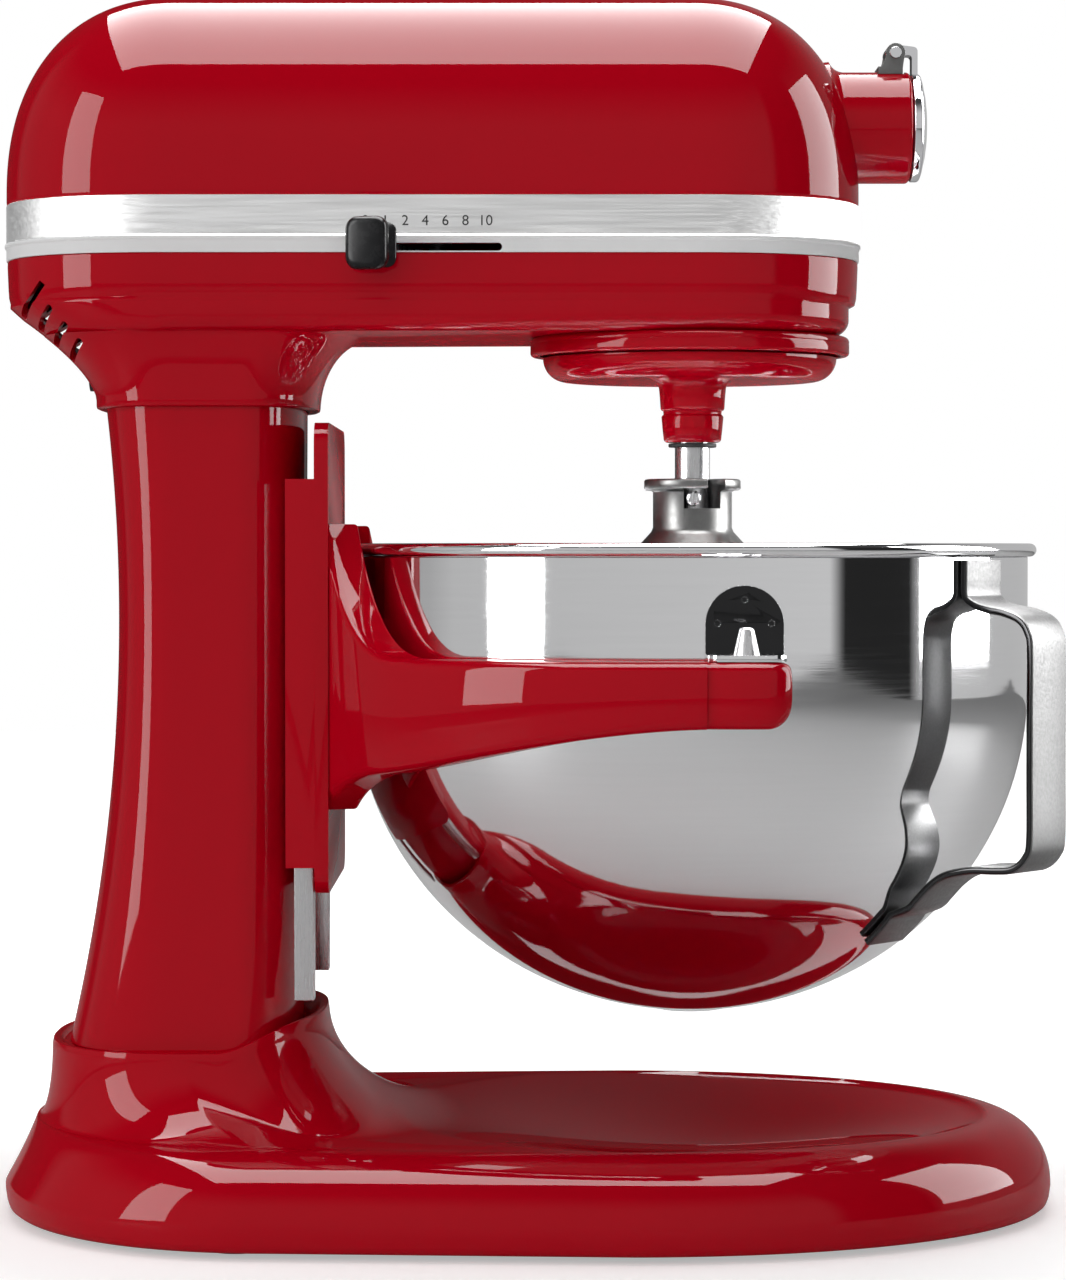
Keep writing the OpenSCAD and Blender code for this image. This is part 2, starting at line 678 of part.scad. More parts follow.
knob_reach = (head_w / 2 + 13 + pivot_y) / sin(knob_a);
module speed_knob() {
    color(black) translate([pivot_x, pivot_y, slot_z]) rotate([0, 0, -knob_a])
        translate([knob_reach, 0, 0]) rotate([0, 90, 0]) difference() {
            union() {
                translate([0, 0, -7.6]) linear_extrude(2) round_rect(15, 13, 3);
                translate([0, 0, -6]) linear_extrude(7) round_rect(9, 7, 3);
                translate([0, 0, 0.5]) linear_extrude(5.5) round_rect(17.5, 14.5, 4);
            }
            translate([-lever_t / 2, -3.4, -9]) cube([lever_t, 6.8, 5]);
        }
}

// ---------- attachment hub ----------

cover_x = hub_tip - 5.3;
cover_z = motor_z + hub_r + 6.2;
lug_seat = socket_r + sleeve_t + 0.2;   // height of the flat under the hinge's lug

socket_foot = hub_tip - 32;             // bottom of the socket
square = 7;                             // width of the take-off's square recess
module hub_sleeve() {
    color(steel) along_x(socket_foot) difference() {
        cylinder(r = socket_r + sleeve_t, h = hub_tip - 0.4 - socket_foot);
        translate([0, 0, -1]) cylinder(r = socket_r, h = 60);
        translate([0, 0, hub_tip - 13.1 - socket_foot]) rotate([-90, 0, 0]) cylinder(r = 4, h = 40);
    }
}

module hub_drive_bush() {
    color(bronze) along_x(socket_foot - 12) tube(socket_r + sleeve_t, 6 + fit, 0, 11.8);
}

module hub_drive() {
    color(dark_steel) along_x(nose_c + 14) difference() {
        union() {
            cylinder(r1 = 12, r2 = 17, h = 7);
            cylinder(r = 6, h = socket_foot - nose_c - 14.2);
        }
        translate([-square / 2, -square / 2, socket_foot - nose_c - 28]) cube([square, square, 20]);
    }
}

module cover_lug() {
    color("#9a9b9f") translate([cover_x, 0, cover_z]) difference() {
        union() {
            for (s = [-1, 1]) translate([0, s * 5.6, 0]) rotate([90, 0, 0])
                cylinder(r = 3.3, h = 3, center = true);
            for (s = [-1, 1]) translate([-3.3, s * 5.6 - 1.5, motor_z + lug_seat - cover_z])
                cube([6.6, 3, cover_z - motor_z - lug_seat]);
            translate([-6, -7.1, motor_z + lug_seat - cover_z]) cube([8.5, 14.2, 2.6]);
        }
        rotate([90, 0, 0]) cylinder(r = 2.1, h = 30, center = true);
    }
}

module cover_hinge_pin() {
    color(steel) translate([cover_x, 0, cover_z]) rotate([90, 0, 0])
        cylinder(r = 2.1, h = 16, center = true);
}

module hub_cover() {
    color(steel) difference() {
        union() {
            along_x(hub_tip + 0.25) rotate_extrude() polygon([[0, 1.5], [15.4, 1.5],
                [15.4, 0], [hub_r - 0.9, 0], [hub_r - 0.5, 0.6], [hub_r - 0.5, 2.4],
                [hub_r - 1.6, 3.8], [12, 5], [6, 5.5], [0, 5.7]]);
            translate([cover_x, 0, cover_z]) rotate([90, 0, 0])
                cylinder(r = 3.3, h = 7.6, center = true);
            translate([cover_x, -3.8, cover_z - 1]) cube([hub_tip + 2.6 - cover_x, 7.6, 3.2]);
            translate([hub_tip + 0.6, -3.8, cover_z - 9.5]) cube([2, 7.6, 10]);
        }
        translate([cover_x, 0, cover_z]) rotate([90, 0, 0])
            cylinder(r = 2.1 + fit, h = 30, center = true);
    }
}

module hub_screw_knob() {
    color(black) translate([hub_tip - 13, 0, motor_z]) rotate([-90, 0, 0]) union() {
        translate([0, 0, socket_r + 0.4]) cylinder(r = 4 - 0.3, h = 8);
        translate([0, 0, hub_r + 1.5]) cylinder(r1 = 6, r2 = 10, h = 4);
        translate([0, 0, hub_r + 5.5]) linear_extrude(9)
            polygon(cog(16, 1.2, 0.3, 0.3, 0.26));
        translate([0, 0, hub_r + 14.5]) cylinder(r1 = 9, r2 = 7.5, h = 2);
    }
}

// ---------- bowl support ----------

yoke_in = rim_r + 2.2;             // inner radius of the arms
yoke_r = yoke_in + yoke_t;         // outer radius of the arms
pad_x = 12.8;                      // from the bowl's axis to the locating pins
pad_l = 28.4;
pad_h = 21;
locate_y = (yoke_in + yoke_r) / 2 - 0.4;
carriage_z = yoke_top - 71;        // side cheeks' lower end
carriage_h = 130;
face_x = rail_x + rail_t + 0.4;    // back of the carriage's front plate
face_t = 4.7;
cheek_y = rail_y + rail_w + 0.4;
cheek_t = 6;

// Cross-section of an arm at angle a from the rear, as a ring of points.
function arm_ring(a) =
    let (root = 1 - ease((a - 24) / 50),
         zt = yoke_top + 44 * pow(1 - clamp01((a - 22) / 22), 2.2),
         zb = mix(yoke_top - pad_h, yoke_top - 40, ease((92 - a) / 66))
            - 12 * pow(1 - clamp01((a - 22) / 16), 2),
         ri = yoke_in, ro = mix(yoke_r, yoke_r - 5, root), c = 3.2)
    [for (q = [[ri, zb + 1.5], [ri + 1.5, zb], [ro - c, zb], [ro - c / 3, zb + c / 3], [ro, zb + c],
               [ro, zt - c], [ro - c / 3, zt - c / 3], [ro - c, zt], [ri + 1.5, zt], [ri, zt - 1.5]])
        [bowl_x - q.x * cos(a), q.x * sin(a), q[1]]];

module bowl_yoke() {
    color(enamel) union() {
        for (s = [0, 1]) mirror([0, s, 0])
            loft([for (a = [22:4:90]) arm_ring(a)]);
        for (s = [-1, 1]) translate([bowl_x - 1.4, s * (yoke_in + yoke_r) / 2, yoke_top - pad_h])
            rotate([90, 0, 0]) translate([pad_l / 2, pad_h / 2, 0])
                linear_extrude(yoke_r - yoke_in, center = true) round_rect(pad_l, pad_h, 4);
        difference() {
            translate([face_x, 0, carriage_z + carriage_h / 2 + 5]) rotate([90, 0, 90])
                linear_extrude(face_t) round_rect(2 * cheek_y + 2 * cheek_t, carriage_h + 28, 8);
            translate([face_x - 1, -30, yoke_top - 8]) cube([face_t + 2, 60, 40]);
        }
        for (s = [-1, 1]) translate([rail_x - 2.4, s * (cheek_y + cheek_t / 2) - cheek_t / 2, carriage_z])
            cube([rail_t + 3, cheek_t, carriage_h]);
        for (s = [-1, 1]) mirror([0, s < 0 ? 1 : 0, 0])
            translate([face_x + face_t / 2, 46, yoke_top - 44]) cube([14, cheek_y + cheek_t - 47, 56]);
    }
}

module locating_pins() {
    color(steel) for (s = [-1, 1]) translate([bowl_x + pad_x, s * locate_y, yoke_top])
        rotate_extrude() polygon([[0, -8], [3, -8], [3, 0], [pin_r, 0], [pin_r, 1.2],
            [pin_r - 2.2, pin_h - 0.5], [pin_r - 2.7, pin_h], [0, pin_h]]);
}

stud_z = rim_z - 14;
latch_x = face_x + face_t;
module bowl_latch_spring() {
    color(steel) union() {
        for (s = [-1, 1]) translate([latch_x, s * 5.6 - 0.6, stud_z - 12]) cube([3.4, 1.2, 24]);
        translate([latch_x, -5.6, stud_z - 13.2]) cube([3.4, 11.2, 1.2]);
        translate([face_x + 0.5, -31, stud_z - 14]) cube([1.2, 62, 12]);
        translate([face_x + 0.5, -5.6, stud_z - 13.2]) cube([face_t, 11.2, 1.2]);
    }
}

crank_r = lift_travel / 2 / sin(lift_turn / 2);
pin_slack = crank_r * sin(lift_turn / 4) - lift_travel / 4 + 0.35;
crank_pin_r = 4;
plate_top = shaft_z + lift_travel + 16;
plate_back = shaft_x - crank_r - 10;
slot_mid = shaft_z + lift_travel / 2;

module lift_plate() {
    slot_from = shaft_x - crank_r - crank_pin_r - 1;
    slot_to = shaft_x - crank_r * cos(lift_turn / 2) + crank_pin_r + 1;
    color(steel) translate([0, plate_y, 0]) difference() {
        translate([plate_back, 0, shaft_z - 14])
            cube([face_x - plate_back, plate_t, plate_top - shaft_z + 14]);
        translate([shaft_x - lift_shaft_r - 1, -1, shaft_z - lift_shaft_r - 1])
            cube([2 * lift_shaft_r + 2, plate_t + 2, lift_travel + 2 * lift_shaft_r + 2]);
        translate([slot_from, -1, slot_mid - crank_pin_r - pin_slack])
            cube([slot_to - slot_from, plate_t + 2, 2 * (crank_pin_r + pin_slack)]);
    }
}

lever_y = bush_out + 2;
module lift_shaft() {
    color(dark_steel) translate([shaft_x, 0, shaft_z]) rotate([-90, 0, 0])
        translate([0, 0, gap - bush_blind]) cylinder(r = lift_shaft_r, h = bush_blind - gap + lever_y + 9);
}

module lift_crank() {
    a = 180 - lift_turn / 2;
    color(dark_steel) translate([shaft_x, plate_y - gap, shaft_z]) rotate([90, 0, 0]) difference() {
        union() {
            cylinder(r = lift_shaft_r + 5, h = 7);
            rotate([0, 0, a]) translate([lift_shaft_r + 1, -4.5, 0.5])
                cube([crank_r - lift_shaft_r - 2, 9, 6]);
            rotate([0, 0, a]) translate([crank_r, 0, 0]) cylinder(r = 6, h = 7);
            rotate([0, 0, a]) translate([crank_r, 0, -plate_t - 1.5]) cylinder(r = crank_pin_r, h = 8);
        }
        translate([0, 0, -1]) cylinder(r = lift_shaft_r, h = 10);
    }
}

module lift_lever_arm() {
    color(steel) translate([shaft_x, lever_y, shaft_z]) difference() {
        union() {
            rotate([-90, 0, 0]) cylinder(r = lift_shaft_r + 6, h = 9);
            translate([-7, 2, 0]) cube([14, 5, lever_l - 20]);
        }
        translate([0, -1, 0]) rotate([-90, 0, 0]) cylinder(r = lift_shaft_r, h = 12);
    }
}

module lift_lever_knob() {
    color(black) translate([shaft_x, lever_y + 4.5, shaft_z + lever_l - 20]) difference() {
        translate([0, 0, -8]) rotate_extrude() polygon([[0, 0], [7, 0], [9, 3], [9.6, 20],
            [10.5, 30], [9, 37], [5, 40.5], [0, 41.5]]);
        translate([-7, -2.5, -9]) cube([14, 5, 9]);
    }
}

// ---------- bowl ----------

bowl_bend = rim_z - 48.3;             // where the wall starts to curve in
bowl_foot_r = 12;                     // radius of the flat that the bowl stands on
// Half outline of the bowl's outside, offset inwards by t.
function bowl_side(t) = [for (a = [0:5:80])
    [(shell_r - t) * cos(a), bowl_bend - (bowl_bend - bowl_z - t) * sin(a)]];

module mixing_bowl() {
    edge = rim_z - bead_r + 0.4;
    color(steel) translate([bowl_x, 0, 0]) union() {
        rotate_extrude($fn = 128) polygon(concat(
            [[shell_r, edge]], bowl_side(0), [[bowl_foot_r, bowl_z], [0, bowl_z],
            [0, bowl_z + bowl_t], [bowl_foot_r, bowl_z + bowl_t]],
            [for (i = [16:-1:0]) bowl_side(bowl_t)[i]], [[shell_r - bowl_t, edge]]));
        rotate_extrude($fn = 128) translate([rim_r - bead_r, rim_z]) circle(r = bead_r, $fn = 24);
    }
}

module bowl_brackets() {
    flange_y = locate_y + 6.5;
    color(steel) for (s = [0, 1]) mirror([0, s, 0]) translate([bowl_x + pad_x, 0, yoke_top]) difference() {
        union() {
            translate([0, shell_r + 1.9, 0]) rotate([90, 0, 0]) linear_extrude(1.9) union() {
                translate([-12.5, 0]) square([25, 11.5]);
                translate([0, 11.5]) circle(r = 12.5);
            }
            translate([-12.5, shell_r, 0.2]) cube([25, flange_y - shell_r, 2]);
        }
        translate([0, locate_y, -1]) cylinder(r = pin_r + gap, h = 6);
        translate([-20, shell_r - 5, -3.2]) cube([40, 40, 3.4]);
    }
}

module bowl_latch_stud() {
    wall_x = bowl_x - shell_r;
    color(dark_steel) union() {
        translate([wall_x - 1.6, -9, stud_z - 9]) cube([2.2, 18, 20]);
        translate([wall_x, 0, stud_z]) rotate([0, -90, 0]) cylinder(r = 3, h = 5.6);
        translate([wall_x - 4.4, 0, stud_z]) rotate([0, -90, 0]) cylinder(r = 4.2, h = 1.4);
    }
}

// Handle profile in the plane through the bowl's axis.
module handle_profile() {
    r0 = shell_r + 0.1;
    r1 = rim_r + grip_out - strap_t;
    z1 = rim_z - 21.3;
    z0 = z1 - 82;
    lower = bowl_side(0)[9];
    union() {
            translate([r0, z1 + 3]) square([strap_t, 16]);
            translate([r0, z1 - strap_t]) square([r1 - r0, strap_t]);
            translate([r0, z1 - strap_t]) square([strap_t, 8]);
            translate([r1, z0 + 6]) square([strap_t, z1 - z0 - 12]);
            translate([r1 + strap_t - 7, z1 - 7]) intersection() {
                difference() { circle(r = 7); circle(r = 7 - strap_t); }
                square(8);
            }
            translate([r1 + strap_t - 7, z0 + 7]) intersection() {
                difference() { circle(r = 7); circle(r = 7 - strap_t); }
                translate([0, -8]) square(8);
            }
            polygon([[r1 - 2.4, z0], [r1 - 2.4, z0 + strap_t], [lower.x + 3.6, lower.y + 7 + strap_t],
                     [lower.x + 3.6, lower.y + 7]]);
    }
}

module bowl_handle() {
    low = bowl_side(0)[8];
    color("#9fa0a3") translate([bowl_x, 0, 0]) rotate([0, 0, -handle_a]) difference() {
        union() {
            rotate([90, 0, 0]) linear_extrude(strap_w, center = true) handle_profile();
            translate([low.x - 2, -strap_w / 2, low.y - 14]) cube([8, strap_w, 16]);
        }
        rotate_extrude($fn = 128) polygon(concat([[0, rim_z]], [[shell_r + 0.05, rim_z]],
            [for (p = bowl_side(0)) [p.x + 0.05, p.y]], [[0, bowl_z]]));
        difference() {
            translate([low.x - 12, -strap_w, low.y - 15]) cube([26, 2 * strap_w, 16]);
            rotate_extrude($fn = 128) polygon(concat([[0, rim_z]], [[shell_r + strap_t, rim_z]],
                [for (p = bowl_side(-strap_t)) [p.x, p.y]], [[0, bowl_z - strap_t]]));
        }
    }
}

// ---------- planetary and whip ----------

dish_top = head_z - 7;
dish_bottom = dish_top - 8.2;
boss_end = dish_bottom - 21.8;
boss_r = agitator_r + 4.9;           // boss around the agitator shaft's bush

module at_agitator() { translate([nose_c, -agitator_offset, 0]) children(); }

module planetary() {
    color(enamel) difference() {
        union() {
            translate([nose_c, 0, 0]) rotate_extrude() polygon(concat(
                [[0, dish_bottom]],
                [for (t = [0:15:90]) [43 + 8 * sin(t), dish_bottom + 8 * (1 - cos(t))]],
                [[51, dish_top], [44, dish_top], [44, dish_top + 3.5], [14, dish_top + 3.5],
                 [14, dish_top + 5], [0, dish_top + 5]]));
            at_agitator() rotate_extrude() polygon([[0, dish_bottom + 1], [14, dish_bottom + 1],
                [boss_r + 0.5, dish_bottom - 1.5], [boss_r, dish_bottom - 10.6],
                [boss_r - 1, dish_bottom - 11.2], [boss_r - 1, dish_bottom - 12.4],
                [boss_r - 0.3, dish_bottom - 13], [boss_r - 1.1, boss_end + 1],
                [boss_r - 1.9, boss_end], [0, boss_end]]);
        }
        translate([nose_c, 0, head_z - 9]) cylinder(r = centre_r, h = 30);
        at_agitator() translate([0, 0, boss_end - 1]) cylinder(r = agitator_r + 2, h = 60);
    }
}

module agitator_bush() {
    color(bronze) at_agitator() tube(agitator_r + 2, agitator_r + fit, boss_end, dish_top + 3.5);
}

pin_z = boss_end - 19.2;
whip_top = boss_end - 12.5;
shaft_foot = whip_top - 22;

module agitator_shaft() {
    color(steel) at_agitator() difference() {
        translate([0, 0, shaft_foot]) cylinder(r = agitator_r, h = mesh_z + mesh_h - shaft_foot);
        translate([0, 0, pin_z]) rotate([90, 0, 0]) cylinder(r = 2.6, h = 30, center = true);
    }
}

module agitator_pinion() {
    r = sun_module * (sun_teeth / 2 - 1.1);
    color(dark_steel) at_agitator() rotate([0, 0, -90]) difference() {
        translate([0, 0, mesh_z]) linear_extrude(mesh_h)
            polygon(cog(sun_teeth, sun_module, 0.8, 1.1, 0.2));
        translate([0, 0, mesh_z - 1]) cylinder(r = min(agitator_r, r - 0.1), h = mesh_h + 2);
    }
}

module cross_pin() {
    color(steel) at_agitator() translate([0, 0, pin_z]) rotate([90, 0, 0]) union() {
        cylinder(r = 2.6, h = 27, center = true);
        for (s = [0, 1]) mirror([0, 0, s]) translate([0, 0, 13.5]) cylinder(r1 = 2.6, r2 = 1.6, h = 0.9);
    }
}

module shaft_washer() {
    color(black) at_agitator() tube(agitator_r + 2.2, agitator_r, boss_end - 1.7, boss_end - 0.3);
}

hub_wall_r = agitator_r + 7.5;
twist = 28;                      // turn of the bayonet
module whip_hub() {
    window_h = 2 * 2.6 + 1.6;
    color("#b4b4b2") at_agitator() difference() {
        rotate_extrude() polygon([[0, whip_top - 25.7], [20.5, whip_top - 25.7],
            [20.5, whip_top - 24.4], [hub_wall_r + 1, whip_top - 18.4],
            [hub_wall_r, whip_top - 17.6], [hub_wall_r, whip_top - 3.8],
            [hub_wall_r + 2.5, whip_top - 3.8], [hub_wall_r + 3, whip_top - 3.2],
            [hub_wall_r + 3, whip_top - 0.6], [hub_wall_r + 2.5, whip_top], [0, whip_top]]);
        translate([0, 0, shaft_foot - 0.5]) cylinder(r = agitator_r + fit, h = 60);
        for (s = [0, 180]) rotate([0, 0, s - 90]) {
            translate([0, 0, pin_z - window_h / 2]) rotate_extrude(angle = twist)
                translate([5, 0]) square([15, window_h]);
            translate([0, -window_h / 2, pin_z - window_h / 2]) cube([20, window_h, window_h]);
            rotate([0, 0, twist]) translate([0, -window_h / 2, pin_z - window_h / 2])
                cube([20, window_h, 24]);
        }
    }
}

wire_r = wire_d / 2;
wire_top = whip_top - 24.9;
whip_foot = bowl_z + bowl_t + whip_gap;
loop_step = wire_d + 0.15;
leg_r = 16.5;                    // where the legs enter the hub
wire_steps = 26;                 // steps around a loop's round bottom

// Centre line of one loop, in its own plane: a round bottom and two straight tangent legs.
function loop_line(rise) =
    let (big = whip_r - wire_r, cz = whip_foot + rise + wire_r + big,
         top = [leg_r, wire_top + 1 - cz], a = atan2(top.y, top.x) - acos(big / norm(top)))
    concat([[leg_r, wire_top + 1]],
        [for (i = [0:wire_steps]) let (t = a - (180 + 2 * a) * i / wire_steps)
            [big * cos(t), cz + big * sin(t)]],
        [[-leg_r, wire_top + 1]]);

// Six-sided wire along a line in the XZ plane.
module wire(line) {
    m = len(line);
    loft([for (i = [0:m - 1])
        let (d = line[min(i + 1, m - 1)] - line[max(i - 1, 0)], e = d / norm(d), n = [-e.y, e.x])
        [for (a = [0:60:300]) [line[i].x + n.x * wire_r * cos(a), wire_r * sin(a),
                               line[i].y + n.y * wire_r * cos(a)]]]);
}

module whip_wires() {
    color(steel) at_agitator() for (i = [0:loops - 1])
        rotate([0, 0, 180 * i / loops]) wire(loop_line(i * loop_step));
}

base_casting();
rubber_feet();
column_casting();
column_bolts();
neck_bolts();
guide_rails();
lift_shaft_bushes();
gearcase_casting();
gearcase_ring();
motor_housing();
housing_screws();
trim_band();
trim_screws();
transmission_plate();
ring_gear();
centre_bush();
drive_bush();
motor_field();
motor_brackets();
motor_bearings();
brush_holders();
carbon_brushes();
speed_plate();
speed_lever_pivot();
control_board();
cord_gland();
hub_sleeve();
hub_drive_bush();
cover_lug();
cover_hinge_pin();
bowl_yoke();
locating_pins();
bowl_latch_spring();
lift_plate();
lift_shaft();
lift_crank();
lift_lever_arm();
lift_lever_knob();
mixing_bowl();
bowl_brackets();
bowl_latch_stud();
bowl_handle();
planetary();
agitator_bush();
centre_shaft();
centre_gear();
agitator_shaft();
agitator_pinion();
cross_pin();
shaft_washer();
whip_hub();
whip_wires();
drive_pinion();
worm_wheel();
armature();
hub_drive();
speed_lever_arm();
speed_knob();
hub_cover();
hub_screw_knob();
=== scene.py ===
"""Bowl-lift stand mixer: fine meshes, finishes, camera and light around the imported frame.
Sizes are in millimetres in this script, and turned to metres when a mesh is made."""
import json
from math import acos, atan2, cos, pi, radians, sin, sqrt, tan

import bmesh
import bpy
import numpy as np
from mathutils import Matrix, Vector


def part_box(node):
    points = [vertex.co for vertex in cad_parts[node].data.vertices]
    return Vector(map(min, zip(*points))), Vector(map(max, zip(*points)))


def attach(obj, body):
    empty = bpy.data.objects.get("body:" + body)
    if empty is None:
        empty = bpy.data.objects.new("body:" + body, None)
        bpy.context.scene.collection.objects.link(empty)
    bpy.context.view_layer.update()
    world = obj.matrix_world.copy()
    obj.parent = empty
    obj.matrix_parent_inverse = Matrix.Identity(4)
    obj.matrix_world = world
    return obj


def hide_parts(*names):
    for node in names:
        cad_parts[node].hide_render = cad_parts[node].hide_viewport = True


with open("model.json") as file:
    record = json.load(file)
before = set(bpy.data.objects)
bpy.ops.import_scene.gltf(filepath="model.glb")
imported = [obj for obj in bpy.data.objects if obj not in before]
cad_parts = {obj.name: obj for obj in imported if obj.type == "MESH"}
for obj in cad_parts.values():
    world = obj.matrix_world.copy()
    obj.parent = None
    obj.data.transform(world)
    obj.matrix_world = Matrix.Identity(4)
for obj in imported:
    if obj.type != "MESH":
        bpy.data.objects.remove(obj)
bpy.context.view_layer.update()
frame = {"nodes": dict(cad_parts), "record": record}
MM = 0.001
MERGE = 1e-7

# ---------- driving sizes, taken from the frame where a node carries them ----------


def node_box(name):
    lo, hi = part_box(name)
    return np.array(lo) / MM, np.array(hi) / MM


column_lo, column_hi = node_box("column_casting")
band_lo, band_hi = node_box("trim_band")
bowl_lo, bowl_hi = node_box("mixing_bowl")
shaft_lo, shaft_hi = node_box("agitator_shaft")

BASE_L = 363.0
BASE_W, BASE_REAR_W = 243.4, 230.0
CREST, DISH_FLOOR, DISH_R = 33.0, 21.0, 105.0
PEDESTAL = column_lo[2]
NECK = column_hi[2]
TOP = node_box("motor_housing")[1][2]
COLUMN_TOP_W, COLUMN_FOOT_W = 96.0, 112.0
COLUMN_FRONT = -79.0
HEAD_UNDER = NECK + 25.5
BELT = NECK + 73.5
BAND, BAND_H = band_lo[2], band_hi[2] - band_lo[2]
JOINT = BAND + BAND_H / 2
MOTOR = NECK + 98.4
HEAD_W, NOSE, REAR = 114.0, 114.4, -180.8
NOSE_C, TAIL_C = 56.0, -121.5
HUB_TIP, HUB_R = NOSE + 17.8, 19.2
BOWL_X = (bowl_lo[0] + bowl_hi[0]) / 2
RIM_R, BEAD_R = (bowl_hi[0] - bowl_lo[0]) / 2, 2.25
RIM = bowl_hi[2] - BEAD_R
BOWL_FOOT = bowl_lo[2]
SHELL_R = RIM_R - 3
BOWL_BEND = RIM - 48.3
YOKE_TOP = RIM - 35.3
SHAFT_X, SHAFT_Y = BOWL_X, -25.0
SHAFT_AT, NOSE_AT, HUB_AT = (SHAFT_X, SHAFT_Y, 0), (NOSE_C, 0, 0), (HUB_TIP, 0, MOTOR)
SLOT = BAND + 1.8
SLOT_X = -32.4
COVER_X, COVER_Z = HUB_TIP - 5.3, MOTOR + HUB_R + 6.2
LUG_SEAT = 18.0
SLEEVE_R = 17.8
SLOT_REAR, SLOT_FRONT, SLOT_HALF = -56.0, -8.8, 1.35


def spow(v, e):
    return np.sign(v) * np.abs(v) ** e


def mix(a, b, t):
    return a + (b - a) * t


def clamp01(t):
    return np.clip(t, 0.0, 1.0)


def ease(t):
    u = clamp01(t)
    return u * u * (3 - 2 * u)


def arc(centre, radius, a0, a1, steps):
    """Points on an arc, in degrees, as (u, v) pairs."""
    return [(centre[0] + radius * cos(radians(a)), centre[1] + radius * sin(radians(a)))
            for a in np.linspace(a0, a1, steps)]


def rounded(corners, steps=6):
    """Closed outline from (u, v, radius) corners, with each corner as an arc."""
    out = []
    count = len(corners)
    for i, (u, v, r) in enumerate(corners):
        p = Vector((u, v))
        if r <= 0:
            out.append((u, v))
            continue
        before = (Vector(corners[i - 1][:2]) - p)
        after = (Vector(corners[(i + 1) % count][:2]) - p)
        half = before.angle(after) / 2
        reach = min(r / tan(half), before.length * 0.49, after.length * 0.49)
        r = reach * tan(half)
        a, b = p + before.normalized() * reach, p + after.normalized() * reach
        centre = p + (before.normalized() + after.normalized()).normalized() * (r / sin(half))
        start, end = a - centre, b - centre
        turn = start.angle_signed(end)
        for k in range(steps + 1):
            w = start.copy()
            w.rotate(Matrix.Rotation(-turn * k / steps, 2))
            q = centre + w
            out.append((q.x, q.y))
    return out


# ---------- mesh tools ----------

def turns(start, end, count):
    """Evenly spaced angles, from degrees to radians."""
    return np.radians(np.linspace(start, end, count))


def linked(name, verts, faces):
    """An object in the scene from points in millimetres, with its faces turned outwards."""
    mesh = bpy.data.meshes.new(name)
    points = [tuple(float(c) * MM for c in v) for v in verts]
    mesh.from_pydata(points, [], [tuple(map(int, f)) for f in faces])
    obj = bpy.data.objects.new(name, mesh)
    bpy.context.scene.collection.objects.link(obj)
    close_up(mesh)
    return obj


def close_up(mesh):
    """Merges doubles, drops empty faces and turns the rest outwards."""
    bm = bmesh.new()
    bm.from_mesh(mesh)
    bmesh.ops.remove_doubles(bm, verts=bm.verts, dist=MERGE)
    bmesh.ops.dissolve_degenerate(bm, edges=bm.edges, dist=MERGE)
    bmesh.ops.recalc_face_normals(bm, faces=bm.faces)
    bm.to_mesh(mesh)
    bm.free()


def smoothed(mesh, crease):
    """Smooth shading, but for edges sharper than crease."""
    for poly in mesh.polygons:
        poly.use_smooth = True
    mesh.set_sharp_from_angle(angle=radians(crease))


def finish_mesh(obj, crease):
    """Cleans a mesh after a change to its shape."""
    close_up(obj.data)
    smoothed(obj.data, crease)


def piece(name, verts, faces, material, body, slot, replaces=(), crease=38):
    """A finished piece: mesh in metres at the origin, smooth but for edges sharper than crease."""
    obj = linked(name, verts, faces)
    smoothed(obj.data, crease)
    dress(obj, material, body, slot, replaces)
    return obj


def dress(obj, material, body, slot, replaces=()):
    obj.data.materials.append(material)
    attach(obj, body)
    if replaces:
        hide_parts(*replaces)


def bake(obj):
    """Turns an object's modifiers into its plain mesh."""
    graph = bpy.context.evaluated_depsgraph_get()
    mesh = bpy.data.meshes.new_from_object(obj.evaluated_get(graph))
    old = obj.data
    obj.modifiers.clear()
    obj.data = mesh
    bpy.data.meshes.remove(old)


def scratch(verts, faces):
    """An object for a modifier's use, removed when the modifier is baked."""
    return linked("scratch", verts, faces)


def rod(radius, lo, hi, origin, axis, steps):
    """A scratch cylinder from height lo to hi on an axis through origin."""
    return scratch(*lathe([(0, lo), (radius, lo), (radius, hi), (0, hi)], origin, axis, steps))


def brick(lo, hi):
    """A scratch box."""
    return scratch(*block(lo, hi))


def taken(obj):
    """The points in millimetres and the faces of a scratch object, which goes."""
    mesh = obj.data
    lists = [tuple(v.co / MM) for v in mesh.vertices], [tuple(p.vertices) for p in mesh.polygons]
    bpy.data.objects.remove(obj)
    return lists


def carve(obj, cutters, operation="DIFFERENCE"):
    """Cuts or joins scratch objects into a piece."""
    for cutter in cutters:
        mod = obj.modifiers.new("carve", "BOOLEAN")
        mod.operation = operation
        mod.solver = "MANIFOLD"
        mod.object = cutter
    bake(obj)
    for cutter in cutters:
        bpy.data.objects.remove(cutter)


def loft(rings, wrap=False):
    """Vertices and faces of a closed solid through rings of points."""
    count, k = len(rings), len(rings[0])
    verts = [p for r in rings for p in r]
    faces = []
    for j in range(count if wrap else count - 1):
        a, b = j * k, ((j + 1) % count) * k
        faces += [(a + i, a + (i + 1) % k, b + (i + 1) % k, b + i) for i in range(k)]
    if not wrap:
        faces += [tuple(reversed(range(k))), tuple((count - 1) * k + i for i in range(k))]
    return verts, faces


